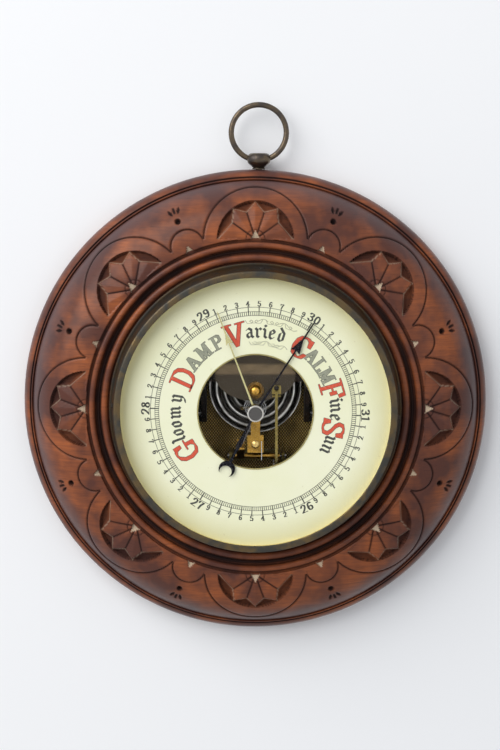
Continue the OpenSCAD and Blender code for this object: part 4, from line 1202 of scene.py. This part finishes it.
@dataclass
class DialPrint:
    """Everything printed on the dial, as films a few hundredths of a millimetre thick."""

    face_z: float = 49.0
    film: float = 0.035
    turn: float = 2.0
    inch_degrees: float = 60.0
    first_inch: int = 26
    inches: int = 6
    figure_gap: float = 1.75
    circles: tuple[float, ...] = (54.7, 56.9, 59.4)
    fine_width: float = 0.38
    tenth_width: float = 0.5
    inch_width: float = 0.66
    inch_r: float = 62.3
    inch_height: float = 4.5
    tenth_r: float = 61.4
    tenth_height: float = 2.75
    word_r: float = 45.0
    initial_height: float = 12.4
    roman_height: float = 7.6
    small_height: float = 5.2
    scroll_r: tuple[float, float] = (51.6, 39.4)
    legends: list[Legend] = field(default_factory=lambda: [
        Legend("Gloomy", Hand.BLACK_LETTER, (241, 250, 255, 261, 269.5, 279.5)),
        Legend("DAMP", Hand.ROMAN, (295, 308.6, 319.6, 330.8)),
        Legend("Varied", Hand.BLACK_LETTER, (345.4, 356, 2, 6.8, 12, 18.5)),
        Legend("CALM", Hand.ROMAN, (35, 45, 53.5, 63)),
        Legend("Fine", Hand.BLACK_LETTER, (74, 82, 87, 94)),
        Legend("Sun", Hand.BLACK_LETTER, (102, 111, 118))])

    def readable(self, angle: float) -> float:
        """How far a figure is turned about itself so that it can be read."""
        return 180 if 90 < (angle - self.turn) % 360 < 270 else 0

    def circle(self, radius: float, width: float = 0.3) -> Piece:
        """One printed circle."""
        low, high = self.face_z - self.film, self.face_z + self.film
        half = width / 2
        return Bench.turned("circle", [(radius - half, low), (radius + half, low),
                                       (radius + half, high), (radius - half, high)], 360)

    def sheet(self, name: str, rise: float = 1.0) -> Print:
        """An empty film on the dial.

        Args:
            name: The piece's name.
            rise: Its thickness above the dial, in films.

        Returns:
            The film.
        """
        return Print(name, self.face_z - self.film, self.face_z + rise * self.film)

    def build_scale(self, finishes: Finishes) -> None:
        """Prints the ticks and the three circles."""
        tenth = self.inch_degrees / 10
        fine, bold = self.sheet("printed_divisions"), self.sheet("printed_scale", 1.2)
        for i in range(self.inches * 50):
            fine.ray(self.turn + i * tenth / 5, self.circles[0], self.circles[1], self.fine_width)
        for i in range(self.inches * 10):
            is_inch = i % 10 == 5
            width = self.inch_width if is_inch else self.tenth_width
            bold.ray(self.turn + i * tenth, self.circles[0], self.circles[2] + 0.4, width)
        rings = [self.circle(radius) for radius in self.circles]
        fine.done(finishes["tick_ink"], rings)
        bold.done(finishes["black_ink"])

    def build_figures(self, finishes: Finishes) -> None:
        """Prints the inches and the tenths."""
        sheet = self.sheet("printed_figures")
        big, little = Pen(1.0, 0.36), Pen(0.6, 0.28)
        for i in range(self.inches):
            number = self.first_inch + (i + 3) % self.inches
            angle = self.inch_degrees * i - self.inch_degrees / 2 + self.turn
            lean = self.readable(angle)
            for figure, side in zip(str(number), (-1, 1)):
                side = -side if lean else side
                at = angle + side * self.figure_gap
                sheet.draw(glyph(figure), big, Placing(at, self.inch_r, self.inch_height, 1.1, lean))
            for figure in range(1, 10):
                at = angle + figure * self.inch_degrees / 10
                placing = Placing(at, self.tenth_r, self.tenth_height, 1.05, self.readable(at))
                sheet.draw(glyph(str(figure)), little, placing)
        sheet.done(finishes["black_ink"])

    def build_words(self, finishes: Finishes) -> None:
        """Prints the curved words: tall red initials, black letter, and grey capitals with an edge."""
        black = self.sheet("weather_words")
        red, grey = self.sheet("red_initials", 3), self.sheet("grey_capitals", 3)
        capital, roman, letter = Pen(1.9, 0.6, 6), Pen(1.5, 0.45), Pen(1.4, 0.36, 40)
        for legend in self.legends:
            first = Placing(legend.angles[0], self.word_r, self.initial_height, 0.86)
            red.draw(glyph(legend.text[0]), capital, first)
            black.draw(glyph(legend.text[0]), capital.wider(0.2), first)
            for sign, angle in zip(legend.text[1:], legend.angles[1:]):
                if legend.hand is Hand.ROMAN:
                    placing = Placing(angle, self.word_r, self.roman_height, 0.84)
                    grey.draw(glyph(sign), roman, placing)
                    black.draw(glyph(sign), roman.wider(0.18), placing)
                else:
                    placing = Placing(angle, self.word_r, self.small_height, 1.12)
                    black.draw(glyph(sign), letter, placing)
        for film, ink in ((black, "black_ink"), (red, "red_ink"), (grey, "grey_ink")):
            film.done(finishes[ink])

    def build_scrolls(self, finishes: Finishes) -> None:
        """Prints the faint scrolls over and under the top word."""
        sheet = self.sheet("printed_scrolls")
        pen = Pen(0.24, 0.24)
        for radius, angles in zip(self.scroll_r, ((-4, 2, 9, 15, 21), (-2, 5, 13, 20))):
            for i, angle in enumerate(angles):
                way = 1 if i % 2 else -1
                curl = [(0.5 + way * 0.1 * k * math.cos(k * 1.1), 0.5 + 0.1 * k * math.sin(k * 1.1))
                        for k in range(1, 7)]
                sheet.draw([curl], pen, Placing(angle, radius, 3.4, 1.5))
                link = [(k / 6, 0.5 + way * 0.45 * math.sin(k / 6 * math.pi)) for k in range(7)]
                sheet.draw([link], pen, Placing(angle + 3, radius, 2.6, 2.0))
        sheet.done(finishes["faint_ink"])

    def build(self, finishes: Finishes) -> None:
        """Prints everything."""
        for build in (self.build_scale, self.build_figures, self.build_words, self.build_scrolls):
            build(finishes)


# Finishes of the CAD nodes that keep their shape.
DRESS: dict[str, str] = {
    "tired_brass": "case_drum case_flange dial_ledge hairspring_stud base_pillars",
    "plain_steel": "case_screws set_washer arbor post_screws steady_wire hairspring base_screws "
                   "capsule_post rear_adjuster bridge_screws spring_screws",
    "dark_iron": "bezel_screws spring_bridge lever_screw",
    "clear_glass": "glass",
    "pale_gold_brass": "glass_ring",
    "dial_cream": "dial_plate",
    "rim_brass": "dial_rim",
    "knob_steel": "set_knob",
    "lacquered_brass": "set_spindle index_collet cock_screw adjuster_bush",
    "faded_brass": "set_hand",
    "blued_steel": "index_hand",
    "olive_brass": "arbor_post main_lever rocker_bracket",
    "amber_brass": "arbor_cock rocking_bar",
    "dark_steel": "chain lever_link bracket_screws pivot_screws",
    "hatched_brass": "base_plate",
    "ribbed_nickel": "capsule_lower capsule_upper",
    "orange_brass": "acorn_cap",
    "spring_steel": "mainspring",
}


def dress(finishes: Finishes) -> None:
    """Puts the finishes on the CAD nodes that keep their shape."""
    for finish, names in DRESS.items():
        for name in names.split():
            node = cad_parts[name]
            node.data.materials.clear()
            node.data.materials.append(finishes[finish])
            log.info("%s keeps its CAD shape, finish %s", name, finish)


@dataclass
class Studio:
    """Camera, wall and light."""

    lens: float = 80.0
    place: tuple[float, float, float] = (-0.0031, -0.982, 0.139)
    pitch: float = 7.21
    wall_gap: float = 0.0008
    wall_size: float = 7.0
    fill: float = 0.5
    bright_way: tuple[float, float, float] = (-0.5, -0.15, 0.6)

    @staticmethod
    def stand(name: str, data: bpy.types.ID, place: Sequence[float], turn: Sequence[float]) -> Piece:
        """Puts a camera or a lamp into the scene.

        Args:
            name: Its name.
            data: The camera's or the lamp's data.
            place: Where it stands, in metres.
            turn: Its rotation in radians.

        Returns:
            The object.
        """
        thing = bpy.data.objects.new(name, data)
        thing.location = place
        thing.rotation_euler = turn
        bpy.context.scene.collection.objects.link(thing)
        return thing

    def build_camera(self) -> None:
        """Sets up the camera at the photograph's viewing angle."""
        data = bpy.data.cameras.new("camera")
        data.lens = self.lens
        data.sensor_width = 36
        turn = (math.radians(90 - self.pitch), 0, 0)
        bpy.context.scene.camera = self.stand("camera", data, self.place, turn)

    def build_stage(self) -> None:
        """Puts up a pale wall, which only a camera in front of it sees."""
        mix = Recipe("pale_plaster")
        mix.set(Base_Color=mix.blend(mix.noise(3, 2, 0.5), (0.87, 0.885, 0.91), (0.90, 0.91, 0.93)),
                Roughness=0.9, Specular_IOR_Level=0.1)
        camera_ray = mix.add("LightPath").outputs["Is Camera Ray"]
        behind = mix.add("NewGeometry").outputs["Backfacing"]
        mix.open_up(mix.calc("SUBTRACT", 1.0, mix.calc("SUBTRACT", camera_ray, behind)))
        Bench.clear()
        bpy.ops.mesh.primitive_plane_add(size=self.wall_size, location=(0, self.wall_gap, 0),
                                         rotation=(math.pi / 2, 0, 0))
        sheet = bpy.context.object
        sheet.name = "wall"
        Bench.flush(sheet)
        sheet.data.materials.append(mix.material)

    def add_lamp(self, name: str, place: Sequence[float], size: float, power: float,
                 colour: Colour) -> None:
        """Adds a square area lamp aimed at the dial."""
        data = bpy.data.lights.new(name, "AREA")
        data.size = size
        data.energy = power
        data.color = colour
        self.stand(name, data, place, (-Vector(place)).to_track_quat("-Z", "Y").to_euler())

    def build_light(self) -> None:
        """Lights the object softly from the upper left, with a pale room around it.

        Rays that show the room see it white; rays that gather light find it dimmer and
        brightest towards the upper left.
        """
        self.add_lamp("key", (-1.6, -1.6, 1.4), 2.3, 61, (1.0, 0.985, 0.96))
        self.add_lamp("side", (1.5, -1.5, 0.2), 1.4, 2, (0.94, 0.97, 1.0))
        world = bpy.data.worlds.new("room")
        bpy.context.scene.world = world
        world.use_nodes = True
        mix = Nodes(world.node_tree, "OutputWorld")
        way = mix.add("TexCoord").outputs["Generated"]
        lean = mix.add("VectorMath", {0: way, 1: self.bright_way}, operation="DOT_PRODUCT")
        level = mix.spread(lean.outputs["Value"], -0.8, 0.8, self.fill * 0.4, self.fill * 1.75)
        room = mix.add("Background", {"Color": (0.96, 0.975, 1.0), "Strength": level})
        white = mix.add("Background", {"Color": (0.96, 0.98, 1.0)})
        ray = mix.add("LightPath").outputs
        seen = mix.calc("MAXIMUM", ray["Is Camera Ray"], ray["Is Transmission Ray"])
        mix.show(room, white, mix.calc("MAXIMUM", seen, ray["Is Glossy Ray"]))

    def build(self) -> None:
        """Sets up the whole studio."""
        bpy.context.scene.view_settings.view_transform = "Standard"
        self.build_camera()
        self.build_stage()
        self.build_light()


def main() -> None:
    """Builds every part of the scene in order."""
    logging.basicConfig(level=logging.INFO, format="%(name)s: %(message)s")
    finishes = {finish.name: finish.make() for finish in FINISHES}
    Studio().build()
    for part in (WoodenFrame(), Bezel(), Hanger(), DialPrint()):
        part.build(finishes)
    dress(finishes)


if __name__ == "__main__":
    main()
